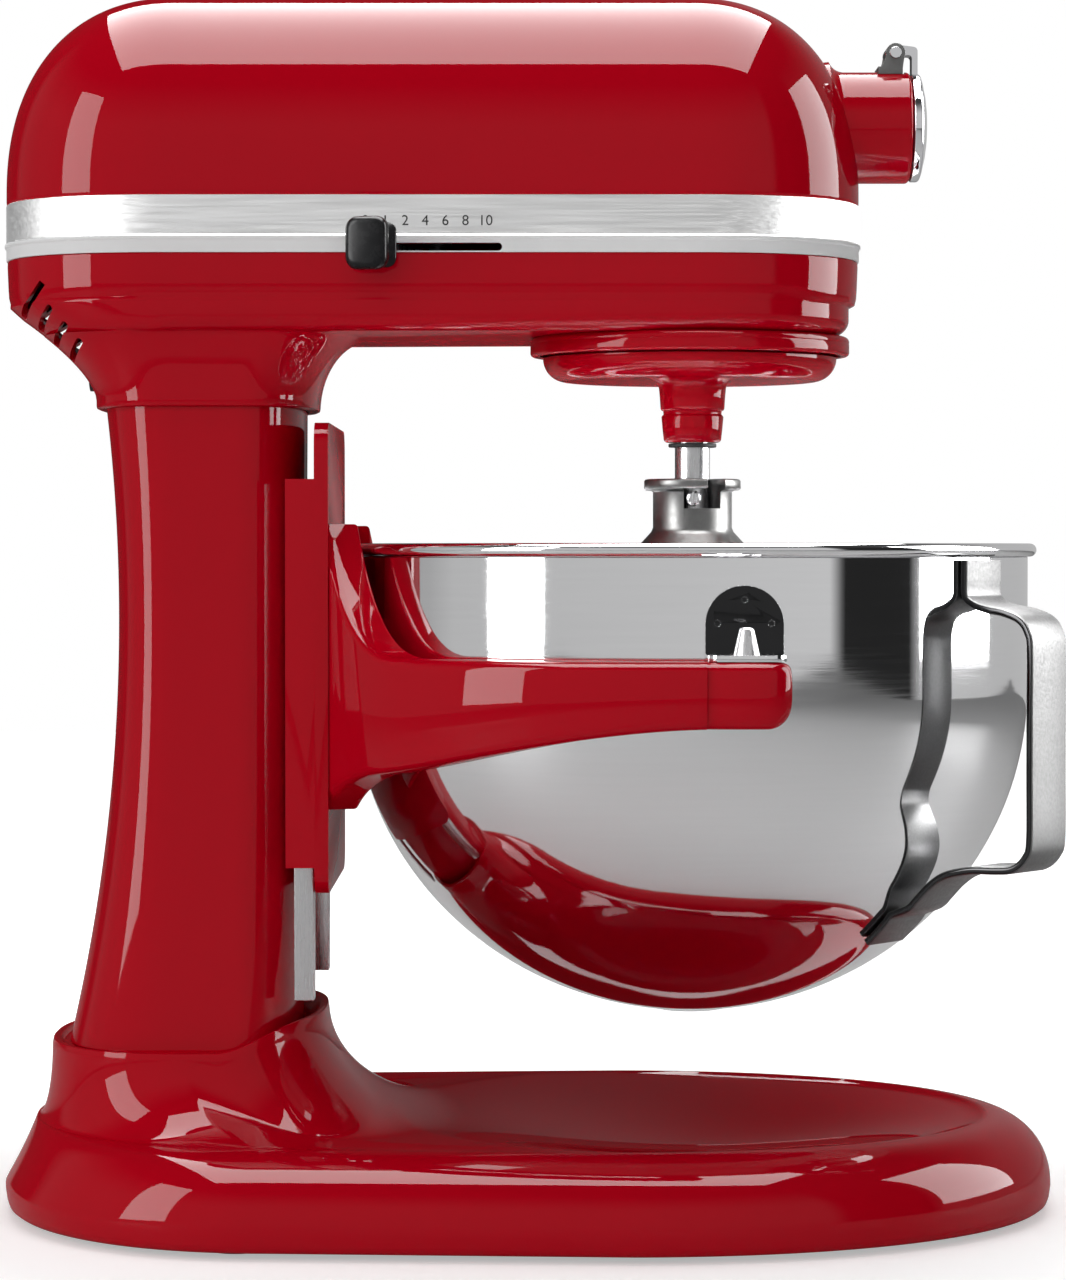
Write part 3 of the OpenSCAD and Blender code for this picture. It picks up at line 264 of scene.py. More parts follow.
def lathe(profile, origin, axis="Z", steps=96):
    """A profile of (radius, height) points turned about an axis through origin."""
    verts, faces = [], []
    k = len(profile)
    for s in range(steps):
        a = 2 * pi * s / steps
        c, w = cos(a), sin(a)
        for r, h in profile:
            p = {"Z": (r * c, r * w, h), "X": (h, r * c, r * w), "Y": (r * w, h, r * c)}[axis]
            verts.append(tuple(np.array(origin) + p))
    for s in range(steps):
        a, b = s * k, ((s + 1) % steps) * k
        for i in range(k):
            n = (i + 1) % k
            if profile[i][0] < 1e-6 and profile[n][0] < 1e-6:
                continue
            faces.append((a + i, b + i, b + n, a + n))
    return verts, faces


def slab(outline, place, thickness):
    """An outline of (u, v) points with a thickness: place(u, v, w) gives each point."""
    k = len(outline)
    verts = [place(u, v, w) for w in (0, thickness) for u, v in outline]
    faces = [tuple(range(k)), tuple(reversed(range(k, 2 * k)))]
    faces += [(i, (i + 1) % k, k + (i + 1) % k, k + i) for i in range(k)]
    return verts, faces


def join(*parts):
    """Several vertex and face lists as one."""
    verts, faces = [], []
    for v, f in parts:
        start = len(verts)
        verts += list(v)
        faces += [tuple(start + i for i in face) for face in f]
    return verts, faces


def shade_faces(obj, material, chosen):
    """Gives a second finish to the faces for which chosen(centre, normal) is true; both uses paint a dark
    reflection this way.
    """
    obj.data.materials.append(material)
    for poly in obj.data.polygons:
        if chosen(poly.center, poly.normal):
            poly.material_index = len(obj.data.materials) - 1


def bevelled(obj, width, segments=3, angle=35):
    """Rounds a piece's sharp edges."""
    mod = obj.modifiers.new("round", "BEVEL")
    mod.width = width * MM
    mod.segments = segments
    mod.limit_method = "ANGLE"
    mod.angle_limit = radians(angle)
    bake(obj)
    finish_mesh(obj, 50)


def sweep(line, radius, sides=12):
    """A round wire along a line of points, with flat ends."""
    pts = [np.array(p, float) for p in line]
    rings = []
    side = None
    for i, p in enumerate(pts):
        d = pts[min(i + 1, len(pts) - 1)] - pts[max(i - 1, 0)]
        d /= np.linalg.norm(d)
        if side is None:
            side = np.cross(d, (0.3, 0.5, 0.8))
        side = side - d * side.dot(d)
        side /= np.linalg.norm(side)
        up = np.cross(d, side)
        rings.append([p + radius * (cos(a) * side + sin(a) * up)
                      for a in np.linspace(0, 2 * pi, sides, endpoint=False)])
    return loft(rings)


def smooth(points, steps=5):
    """A curve through the points, with several steps between each two."""
    pts = [np.array(p, float) for p in points]
    pts = [2 * pts[0] - pts[1]] + pts + [2 * pts[-1] - pts[-2]]
    out = []
    for a, b, c, d in zip(pts, pts[1:], pts[2:], pts[3:]):
        for t in np.linspace(0, 1, steps, endpoint=False):
            out.append(0.5 * (2 * b + (c - a) * t + (2 * a - 5 * b + 4 * c - d) * t * t
                              + (3 * b - a - 3 * c + d) * t ** 3))
    return out + [pts[-2]]


def block(lo, hi):
    """Corners and faces of a box."""
    x, y, z = zip(lo, hi)
    verts = [(x[i], y[j], z[k]) for k in (0, 1) for j in (0, 1) for i in (0, 1)]
    return verts, [(0, 2, 3, 1), (4, 5, 7, 6), (0, 1, 5, 4), (2, 6, 7, 3), (0, 4, 6, 2), (1, 3, 7, 5)]


# ---------- finishes ----------

def preset(node, **values):
    """Sets a node's unlinked inputs; an underscore stands for the space in a label."""
    for label, value in values.items():
        node.inputs[label.replace("_", " ")].default_value = value


def wire(tree, *pairs):
    """Links outputs to inputs: each pair is (node, output, node, input)."""
    for start, out, end, into in pairs:
        tree.links.new(start.outputs[out], end.inputs[into])


def group(name, inputs, outputs):
    """A shader node group with named sockets; returns its tree, input and output nodes."""
    tree = bpy.data.node_groups.new(name, "ShaderNodeTree")
    for label, kind, default in inputs:
        socket = tree.interface.new_socket(name=label, in_out="INPUT", socket_type=kind)
        if default is not None:
            socket.default_value = default
    for label, kind in outputs:
        tree.interface.new_socket(name=label, in_out="OUTPUT", socket_type=kind)
    return tree, tree.nodes.new("NodeGroupInput"), tree.nodes.new("NodeGroupOutput")


def grain_group():
    """Noise stretched along one direction, as brushing or casting leaves it."""
    tree, come, go = group("surface_grain", [
        ("Stretch", "NodeSocketVector", (1, 1, 1)), ("Scale", "NodeSocketFloat", 40.0),
        ("Low", "NodeSocketFloat", 0.2), ("High", "NodeSocketFloat", 0.4),
        ("Bump", "NodeSocketFloat", 0.1), ("Depth", "NodeSocketFloat", 0.0002)],
        [("Value", "NodeSocketFloat"), ("Roughness", "NodeSocketFloat"), ("Normal", "NodeSocketVector")])
    n = tree.nodes.new
    where = n("ShaderNodeTexCoord")
    stretch = n("ShaderNodeVectorMath")
    stretch.operation = "MULTIPLY"
    noise = n("ShaderNodeTexNoise")
    preset(noise, Detail=6)
    spread = n("ShaderNodeMapRange")
    bump = n("ShaderNodeBump")
    wire(tree, (where, "Object", stretch, 0), (come, "Stretch", stretch, 1),
         (stretch, 0, noise, "Vector"), (come, "Scale", noise, "Scale"),
         (noise, "Fac", spread, "Value"))
    preset(spread, From_Min=0.3, From_Max=0.7)
    wire(tree, (come, "Low", spread, "To Min"), (come, "High", spread, "To Max"),
         (noise, "Fac", bump, "Height"), (come, "Bump", bump, "Strength"),
         (come, "Depth", bump, "Distance"), (noise, "Fac", go, "Value"),
         (spread, "Result", go, "Roughness"), (bump, "Normal", go, "Normal"))
    return tree


def wear_group():
    """A mask of 1 along convex edges, broken up by noise, for rubbed edges."""
    tree, come, go = group("edge_wear", [("Width", "NodeSocketFloat", 0.5),
                                         ("Amount", "NodeSocketFloat", 0.5)],
                           [("Mask", "NodeSocketFloat")])
    n = tree.nodes.new
    where, geometry = n("ShaderNodeTexCoord"), n("ShaderNodeNewGeometry")
    noise, edge, both = n("ShaderNodeTexNoise"), n("ShaderNodeMapRange"), n("ShaderNodeMath")
    preset(noise, Scale=260, Detail=4)
    preset(edge, From_Max=0.62)
    wire(tree, (come, "Width", edge, "From Min"), (where, "Object", noise, "Vector"),
         (geometry, "Pointiness", edge, "Value"))
    both.operation = "MULTIPLY"
    wire(tree, (edge, "Result", both, 0), (noise, "Fac", both, 1))
    scaled = n("ShaderNodeMath")
    scaled.operation = "MULTIPLY"
    wire(tree, (both, 0, scaled, 0), (come, "Amount", scaled, 1), (scaled, 0, go, "Mask"))
    return tree


GRAIN = grain_group()
WEAR = wear_group()


def finish(name, colour, metallic, low, high, stretch=(1, 1, 1), scale=60.0, bump=0.05, depth=0.0001,
           shade=None, coat=0.0, coat_rough=0.03, coat_ior=1.5, wear=0.0, anisotropic=0.0, ior=1.45,
           specular=0.5):
    """One material: colour with a slight variation, roughness and bump from the grain, worn edges."""
    mat = bpy.data.materials.new(name)
    mat.use_nodes = True
    nodes = mat.node_tree.nodes
    shader = nodes["Principled BSDF"]
    grain = nodes.new("ShaderNodeGroup")
    grain.node_tree = GRAIN
    preset(grain, Stretch=stretch, Scale=scale, Low=low, High=high, Bump=bump, Depth=depth)
    blend = nodes.new("ShaderNodeMix")
    blend.data_type = "RGBA"
    preset(blend, A=(*colour, 1), B=(*(shade or [c * 0.86 for c in colour]), 1))
    wire(mat.node_tree, (grain, "Value", blend, "Factor"))
    last = blend
    if wear:
        rub = nodes.new("ShaderNodeGroup")
        rub.node_tree = WEAR
        preset(rub, Width=0.53, Amount=wear)
        worn = nodes.new("ShaderNodeMix")
        worn.data_type = "RGBA"
        wire(mat.node_tree, (rub, "Mask", worn, "Factor"), (blend, "Result", worn, "A"))
        preset(worn, B=(*[min(1, c * 1.5 + 0.06) for c in colour], 1))
        last = worn
    wire(mat.node_tree, (last, "Result", shader, "Base Color"), (grain, "Roughness", shader, "Roughness"),
         (grain, "Normal", shader, "Normal"))
    preset(shader, Metallic=metallic, IOR=ior, Specular_IOR_Level=specular, Anisotropic=anisotropic,
           Coat_Weight=coat, Coat_Roughness=coat_rough, Coat_IOR=coat_ior)
    return mat


ENAMEL = finish("red_enamel", (0.45, 0.0003, 0.009), 0.0, 0.28, 0.36, scale=9, bump=0.02, depth=0.0004,
                shade=(0.42, 0.0002, 0.0084), coat=0.42, coat_rough=0.02, coat_ior=1.40, ior=1.2,
                specular=0.0)
POLISHED = finish("polished_steel", (0.80, 0.80, 0.81), 1.0, 0.03, 0.06, stretch=(1, 1, 26), scale=30,
                  bump=0.012, depth=0.0002, shade=(0.76, 0.76, 0.77))
CHROME = finish("chrome", (0.82, 0.82, 0.84), 1.0, 0.03, 0.05, scale=20, bump=0.01)
BLASTED = finish("blasted_steel", (0.15, 0.15, 0.15), 1.0, 0.40, 0.54, scale=900, bump=0.35, depth=0.00012,
                 shade=(0.12, 0.12, 0.12))
BRUSHED = finish("brushed_trim", (0.66, 0.66, 0.66), 1.0, 0.30, 0.44, stretch=(1, 60, 60), scale=26,
                 bump=0.12, depth=0.0001, shade=(0.57, 0.57, 0.57), anisotropic=0.5)
SATIN = finish("satin_steel", (0.62, 0.62, 0.63), 1.0, 0.22, 0.34, stretch=(14, 14, 1), scale=60, bump=0.08)
CAST = finish("cast_aluminium", (0.18, 0.18, 0.178), 1.0, 0.28, 0.44, scale=420, bump=0.3, depth=0.0002,
              shade=(0.12, 0.12, 0.118), wear=0.5)
# Painted dark reflection: a near-black mirror steel, darker than the parts' own steel, laid on chosen faces
# of the bowl plates and the grip strap
PAINTED_DARK_REFLECTION = finish("painted_dark_reflection_steel", (0.035, 0.035, 0.036), 1.0, 0.08, 0.16, scale=40, bump=0.02)
DARK_STEEL = finish("dark_steel", (0.20, 0.20, 0.21), 1.0, 0.35, 0.5, scale=160, bump=0.15, wear=0.4)
BRONZE = finish("bronze", (0.52, 0.34, 0.15), 1.0, 0.28, 0.42, scale=120, bump=0.1)
RUBBER = finish("black_rubber", (0.022, 0.022, 0.022), 0.0, 0.6, 0.78, scale=500, bump=0.25, depth=0.0001)
PLASTIC = finish("black_plastic", (0.008, 0.008, 0.009), 0.0, 0.20, 0.32, scale=240, bump=0.08, depth=0.00008,
                 specular=0.2)
CARBON = finish("carbon", (0.03, 0.03, 0.03), 0.0, 0.5, 0.7, scale=300, bump=0.1)
COPPER = finish("copper_winding", (0.50, 0.20, 0.08), 1.0, 0.3, 0.45, stretch=(1, 40, 40), scale=30, bump=0.5)
BOARD = finish("green_board", (0.03, 0.16, 0.06), 0.0, 0.3, 0.5, scale=100, bump=0.1)
INK = finish("printed_ink", (0.02, 0.02, 0.02), 0.0, 0.4, 0.5, scale=200, bump=0.02)

SLOT_FINISH = {"red_enamel": ENAMEL, "black_rubber": RUBBER, "black_plastic": PLASTIC,
               "polished_steel": POLISHED, "brushed_trim": BRUSHED, "blasted_steel": BLASTED,
               "satin_steel": SATIN, "cast_aluminium": CAST, "dark_steel": DARK_STEEL,
               "bronze": BRONZE, "carbon": CARBON, "copper_winding": COPPER, "green_board": BOARD}
for row in frame["record"]["subparts"]:
    node = frame["nodes"][row["node"]]
    for holder in node.material_slots:
        holder.material = SLOT_FINISH[row["material_slot"]]

# ---------- castings ----------

SIDES = 256
TURN = np.radians(360 * (np.arange(SIDES) + 0.5) / SIDES)
COS, SIN = np.cos(TURN), np.sin(TURN)


def ring(xr, cr, cf, xf, wr, wf, z, n=2.3):
    """Closed outline at height z: a rear half from xr about cr and a front half to xf about cf."""
    px, py = spow(COS, 2 / n), spow(SIN, 2 / n)
    x = np.where(COS >= 0, cf + (xf - cf) * px, cr + (cr - xr) * px)
    y = np.where(COS >= 0, wf * py, wr * py)
    return np.stack([x, y, np.full(SIDES, z) if np.isscalar(z) else z], axis=1)


RIM_LOW, RIM_IN, REAR_IN, LIP = 9.0, 24.0, 15.0, 9.0
SKIRT = 2.5


def rear_flare(z):
    return REAR_IN * (1 - (1 - clamp01((z - RIM_LOW - 2) / 39)) ** 1.5)


def base_ring(inset, z, rear):
    return ring(-BASE_L / 2 + rear, -83.5, 31.5, BASE_L / 2 - inset, BASE_REAR_W / 2 - inset,
                BASE_W / 2 - inset, z, 2.08)


def pedestal_ring(inset, z):
    return ring(-BASE_L / 2 + REAR_IN + 1.5 + inset, -112, -106, COLUMN_FRONT + 9 - inset,
                COLUMN_FOOT_W / 2 + 9 - inset, COLUMN_FOOT_W / 2 + 9 - inset, z, 2.5)


def lip(x):
    return LIP * ease((x - COLUMN_FRONT + 26) / 30)


def dish(x, y):
    r = np.hypot(x - BOWL_X, y) / DISH_R
    return np.where(r < 1, mix(DISH_FLOOR, CREST, r * r * (2 - r)), CREST)


def base_top(s):
    a, b = base_ring(RIM_IN, CREST, rear_flare(CREST)), pedestal_ring(0, 0)
    p = mix(a, b, s)
    far = np.hypot(*(b - a)[:, :2].T)
    u = 1 - clamp01(far * (1 - s) / np.minimum(far, 46))
    low = dish(p[:, 0], p[:, 1])
    rise = PEDESTAL + lip(b[:, 0]) - CREST
    p[:, 2] = low + rise * (1 - np.sqrt(1 - u * u * 0.998)) + (CREST - low) * u * u
    return p


def crown(inset, drop):
    p = pedestal_ring(inset, 0)
    p[:, 2] = PEDESTAL + lip(p[:, 0]) + drop
    return p


def base_shell():
    deck, wall = DISH_FLOOR - 5, 5.0
    rings = [pedestal_ring(wall + 1, PEDESTAL - wall), pedestal_ring(wall + 1, deck + 1),
             base_ring(wall + 7, deck, wall + 7), base_ring(wall + 2, SKIRT, wall + 2),
             base_ring(SKIRT, SKIRT, SKIRT), base_ring(1.2, SKIRT + 1, 1.2),
             base_ring(0.5, SKIRT + 3, 0.5)]
    for t in turns(0, 88, 26):
        z = RIM_LOW + (CREST - RIM_LOW) * sin(t) ** 0.92
        rings.append(base_ring(RIM_IN * (1 - cos(t) ** 0.92), z, rear_flare(z)))
    rings += [base_top(1 - (1 - j / 60) ** 1.7) for j in range(61)]
    rings += [crown(0.35, 0.42), crown(0.9, 0.62), crown(1.8, 0.6), crown(2.8, 0.3), crown(4, -0.8),
              pedestal_ring(6.5, PEDESTAL)]
    piece("base_shell", *loft(rings), ENAMEL, "stand", "red_enamel", ["base_casting"], crease=50)


def column_ring(inset, z):
    t = (z - PEDESTAL) / (NECK - PEDESTAL)
    w = mix(COLUMN_FOOT_W, COLUMN_TOP_W, 1 - (1 - t) ** 1.6) / 2 - inset
    bow = 38.4 * (t - 0.669) ** 2
    return ring(COLUMN_FRONT - 62.4 - bow + inset, -118, -100, COLUMN_FRONT + 1.5 * t - inset, w, w, z, 2.8)


LIFT_X, LIFT_Z = -100.0, YOKE_TOP - 18


def column_shell():
    rows = np.linspace(PEDESTAL, NECK, 40)
    rings = [column_ring(0, z) for z in rows] + [column_ring(5, z) for z in rows[::-1]]
    obj = piece("column_shell", *loft(rings, wrap=True), ENAMEL, "stand", "red_enamel",
                ["column_casting"], crease=50)
    window = brick((COLUMN_FRONT - 20, 4, LIFT_Z - 55), (COLUMN_FRONT + 20, 18, LIFT_Z + 60))
    carve(obj, [window, rod(9, 0, 70, (LIFT_X, 0, LIFT_Z), "Y", 48)])
    finish_mesh(obj, 50)


def head_ring(inset, z, s=1.0):
    return ring(TAIL_C + (REAR - TAIL_C) * s + inset, TAIL_C, NOSE_C, NOSE_C + (NOSE - NOSE_C) * s - inset,
                HEAD_W / 2 * s - inset, HEAD_W / 2 * s - inset, z, 2.25)


def back_slope(z):
    return 31 * clamp01((z - NECK - 3.5) / 31) ** 1.5


def neck_ring(inset, z):
    u = clamp01((z - NECK) / 25.5)
    fore = 19 * (1 - sqrt(1 - u * u * 0.98))
    w = COLUMN_TOP_W / 2 + 2.6 + 4.4 * (1 - sqrt(1 - u ** 4 * 0.98)) - inset
    return ring(COLUMN_FRONT - 70.1 - back_slope(z) + inset, -118, -100 + fore,
                COLUMN_FRONT + 6 + fore - inset, w, w, z, 2.8)


def belly_ring(inset, z, tuck):
    xr = max(COLUMN_FRONT - 70.1 - back_slope(z), REAR + 1.3)
    w = HEAD_W / 2 - 0.8 - inset
    return ring(xr + inset, TAIL_C, NOSE_C, NOSE - 3.4 - tuck - inset, w - 0.28 * tuck, w - tuck, z, 2.3)


def gearcase_shell():
    wall, recess = 4.0, 1.2
    rings = [neck_ring(1.0, NECK), neck_ring(0.2, NECK + 0.4)]
    rings += [neck_ring(0, z) for z in NECK + np.array([1.2, 3, 5, 7, 9, 11, 13, 15, 17, 18.5, 20, 21.2,
                                                        22.3, 23.2, 24, 24.6, 25.1])]
    rings += [belly_ring(0, HEAD_UNDER + 5.5 * (1 - cos(t)), 7 * (1 - sin(t)))
              for t in turns(4, 90, 12)]
    rings += [belly_ring(0, HEAD_UNDER + 9.5, 0), belly_ring(0, HEAD_UNDER + 10, 0),
              head_ring(1.3, HEAD_UNDER + 11.0), head_ring(0.8, HEAD_UNDER + 13),
              head_ring(0.6, HEAD_UNDER + 16), head_ring(0.3, BAND - 2), head_ring(0.35, BAND - 0.4),
              head_ring(0.8, BAND),
              head_ring(recess, BAND), head_ring(recess, JOINT), head_ring(wall, JOINT),
              head_ring(wall + 0.6, HEAD_UNDER + 16), belly_ring(wall, HEAD_UNDER + 10, 0),
              belly_ring(wall, HEAD_UNDER + wall, 6)]
    rings += [neck_ring(wall, z) for z in NECK + np.array([25, 20, 16, 12, 8, 4, 0])]
    obj = piece("gearcase_shell", *loft(rings, wrap=True), ENAMEL, "stand", "red_enamel",
                ["gearcase_casting"], crease=50)
    under = (NOSE_C, 0, HEAD_UNDER)
    cuts = [rod(47, -10, 20, under, "Z", 96), rod(56, -8, 0, under, "Z", 128),
            brick((SLOT_REAR, -HEAD_W / 2 - 2, SLOT - SLOT_HALF),
                  (SLOT_FRONT, -HEAD_W / 2 + 10, SLOT + SLOT_HALF))]
    carve(obj, cuts + vents())
    finish_mesh(obj, 42)


def vents():
    """Rows of rounded slots through the slope under the head's rear."""
    made = []
    lean = radians(-40)
    across, down = Vector((0, 1, 0)), Vector((cos(lean), 0, sin(lean)))
    through = Vector((sin(lean), 0, -cos(lean)))
    for side in (-1, 1):
        for i in range(4):
            mid = Vector((-171.0 + 5.6 * i, side * 32, NECK + 33.5 - 4.9 * i))
            outline = rounded([(-12, -1.3, 1.2), (12, -1.3, 1.2), (12, 1.3, 1.2), (-12, 1.3, 1.2)])

            def place(u, v, w):
                return tuple(mid + across * u + down * v + through * (w - 11))
            made.append(scratch(*slab(outline, place, 22)))
    return made


def motor_shell():
    wall, recess = 4.0, 1.2
    rings = [head_ring(0, BELT + (TOP - BELT - wall) * sin(t) ** 0.89,
                       cos(t) ** 0.89 * (1 - 2 * wall / HEAD_W))
             for t in turns(86, 0, 14)]
    rings += [head_ring(wall, JOINT), head_ring(recess, JOINT), head_ring(recess, BAND + BAND_H),
              head_ring(0.5, BAND + BAND_H), head_ring(0.1, BAND + BAND_H + 0.5),
              head_ring(0, BAND + BAND_H + 1.2)]
    rings += [head_ring(0, BELT + (TOP - BELT) * sin(t) ** 0.89, max(cos(t), 0.0) ** 0.89)
              for t in turns(0, 89.5, 56)]
    obj = piece("motor_shell", *loft(rings), ENAMEL, "stand", "red_enamel", ["motor_housing"], crease=60)
    flare = [(HUB_R + 6 * (1 - cos(t)), NOSE - HUB_TIP - 5 - 6 * sin(t))
             for t in turns(66, 0, 14)]
    profile = [(0, -46), (HUB_R + 3.0, -46), (HUB_R + 3.4, -30)] + flare + [(HUB_R, -1.6)]
    profile += [(HUB_R - 1.6 * (1 - cos(t)), -1.6 * (1 - sin(t)))
                for t in turns(15, 90, 6)] + [(0, 0)]
    carve(obj, [scratch(*lathe(profile, HUB_AT, "X", 128))], "UNION")
    seat = brick((COVER_X - 6.2, -7.3, MOTOR + LUG_SEAT), (COVER_X + 3.6, 7.3, MOTOR + 30))
    carve(obj, [rod(SLEEVE_R, -60, 2, HUB_AT, "X", 96),
                rod(4, 0, 40, (HUB_TIP - 13, 0, MOTOR), "Y", 32), seat])
    finish_mesh(obj, 42)


# ---------- head trim ----------

def trim_band():
    """The brushed band with its ridge; a bright lower strip and a slot for the speed lever."""
    top, ridge = BAND + BAND_H, 0.7
    rows = [(1.2, BAND), (0.25, BAND), (0.0, BAND + 0.08), (-0.1, BAND + 0.3), (-0.1, BAND + 3.9),
            (-0.2, BAND + 4.2)]
    rows += [(-0.1 - (ridge - 0.1) * sin(t), BAND + 5.1 - 0.85 * cos(t))
             for t in turns(15, 165, 9)]
    rows += [(-0.1, BAND + 6.2), (-0.1, top - 0.35), (-0.02, top - 0.1), (0.15, top), (1.2, top)]
    obj = piece("band", *loft([head_ring(i, z) for i, z in rows], wrap=True), BRUSHED, "stand",
                "brushed_trim", ["trim_band"], crease=30)
    slot = rounded([(SLOT_REAR, SLOT - SLOT_HALF, 1.3), (SLOT_FRONT, SLOT - SLOT_HALF, 1.3),
                    (SLOT_FRONT, SLOT + SLOT_HALF, 1.3), (SLOT_REAR, SLOT + SLOT_HALF, 1.3)])
    carve(obj, [scratch(*slab(slot, lambda u, v, w: (u, w - HEAD_W / 2 - 4, v), 12))])
    finish_mesh(obj, 30)
    obj.data.materials.append(CHROME)
    for poly in obj.data.polygons:
        if poly.center.z < (BAND + 5.7) * MM:
            poly.material_index = 1


def flat_text(body, size):
    """A word or number as vertices and faces in the XZ plane, its middle at the origin, in millimetres."""
    curve = bpy.data.curves.new("text", "FONT")
    curve.body = body
    curve.size = size
    curve.align_x, curve.align_y = "CENTER", "CENTER"
    curve.extrude = 0.03
    holder = bpy.data.objects.new("text", curve)
    bpy.context.scene.collection.objects.link(holder)
    graph = bpy.context.evaluated_depsgraph_get()
    mesh = bpy.data.meshes.new_from_object(holder.evaluated_get(graph))
    verts = [(v.co.x, -v.co.z, v.co.y) for v in mesh.vertices]
    faces = [tuple(p.vertices) for p in mesh.polygons]
    bpy.data.objects.remove(holder)
    bpy.data.meshes.remove(mesh)
    return verts, faces


def speed_scale():
    """Numbers of the speed scale, just above the lever's slot."""
    front = -(HEAD_W / 2 + 0.12)
    marks = []
    for i, word in enumerate(("0", "2", "4", "6", "8", "10")):
        x = SLOT_X - 22 if i == 0 else SLOT_X - 15.4 + 6.7 * i
        verts, faces = flat_text(word, 4.9)
        marks.append(([(x + u, front + v, BAND + 10.4 + w) for u, v, w in verts], faces))
    tick = block((SLOT_X - 15.6, front - 0.03, BAND + 8.6), (SLOT_X - 15.1, front + 0.03, BAND + 12.2))
    marks.append(tick)
    piece("speed_scale", *join(*marks), INK, "stand", "black_plastic", crease=30)


def knob_shape(name, sections, place, material, body, slot, replaces, cut=None):
    """A loft of rounded rectangles (width, height, corner, at) along the direction place() turns them to."""
    rings = []
    for w, h, r, at in sections:
        outline = rounded([(-w / 2, -h / 2, r), (w / 2, -h / 2, r), (w / 2, h / 2, r), (-w / 2, h / 2, r)], 7)
        rings.append([place(u, v, at) for u, v in outline])
    obj = piece(name, *loft(rings), material, body, slot, replaces, crease=40)
    if cut is not None:
        carve(obj, [cut])
        finish_mesh(obj, 40)
    return obj


PIVOT_X, PIVOT_Y, KNOB_A = -31.5, -10.0, 108.9


def speed_knob():
    reach = (HEAD_W / 2 + 13 + PIVOT_Y) / sin(radians(KNOB_A))
    a = radians(-KNOB_A)
    out, along = Vector((cos(a), sin(a), 0)), Vector((-sin(a), cos(a), 0))
    centre = Vector((PIVOT_X, PIVOT_Y, SLOT))

    def place(u, v, at):
        return tuple(centre + out * (reach + at) + along * v + Vector((0, 0, -u)))
    sections = [(12.6, 10.6, 3, -7.6), (14.2, 12.2, 3, -7.4), (15, 13, 3.2, -6.8), (15, 13, 3.2, -6.3),
                (14.2, 12.2, 3.2, -5.8), (11.2, 9.2, 3, -5.0), (9.4, 7.4, 3, -3.9), (9, 7, 3, -2.8),
                (9.2, 7.2, 3, -1.6), (11, 8.8, 3.2, -0.5), (14.4, 11.6, 3.8, 0.4), (16.6, 13.6, 4, 1.2),
                (17.5, 14.5, 4, 2.2), (17.5, 14.5, 4, 4.0), (17.0, 14, 4, 5.0), (15.6, 12.6, 3.8, 5.7),
                (13.2, 10.2, 3.4, 6.0)]
    corner = [place(u, v, w) for w in (-9, -4) for v in (-3.4, 3.4) for u in (-0.8, 0.8)]
    cut = scratch(corner, [(0, 2, 3, 1), (4, 5, 7, 6), (0, 1, 5, 4), (2, 6, 7, 3),
                           (0, 4, 6, 2), (1, 3, 7, 5)])
    knob_shape("lever_knob", sections, place, PLASTIC, "speed_lever", "black_plastic", ["speed_knob"], cut)


def round_part(name, profile, origin, axis, material, body, slot, replaces=(), steps=96, crease=35):
    return piece(name, *lathe(profile, origin, axis, steps), material, body, slot, replaces, crease)


def trim_screw_heads():
    """Domed heads with a cross recess, on the far side of the band."""
    heads, cuts = [], []
    z = JOINT + 4
    for x in (-130, 40):
        y = HEAD_W / 2
        dome = [(0, -7), (1.5, -7), (1.5, -0.1), (3, 0)] + arc((0, -3.2), 4.3, 46, 88, 8) + [(0, 1.1)]
        heads.append(lathe(dome, (x, y, z), "Y", 32))
        for w, h in ((3.2, 0.8), (0.8, 3.2)):
            cuts.append(brick((x - w / 2, y + 0.5, z - h / 2), (x + w / 2, y + 3, z + h / 2)))
    obj = piece("band_screws", *join(*heads), CHROME, "stand", "satin_steel", ["trim_screws"])
    carve(obj, cuts)
    finish_mesh(obj, 35)


def closing_ring():
    z = HEAD_UNDER - 6.6
    profile = [(52.2, z + 0.3), (52.5, z), (53.9, z)] + arc((54.2, z + 1.2), 1.2, -70, 0, 6)
    profile += [(55.4, HEAD_UNDER - 2.6)] + arc((53.6, HEAD_UNDER - 1.8), 1.8, -20, 90, 8)
    profile += [(46.7, HEAD_UNDER), (46.7, HEAD_UNDER + 3), (44.5, HEAD_UNDER + 3), (44.5, HEAD_UNDER - 2),
                (52.2, HEAD_UNDER - 2)]
    round_part("closing_ring", profile, NOSE_AT, "Z", ENAMEL, "stand", "red_enamel",
               ["gearcase_ring"], 160)


# ---------- attachment hub ----------

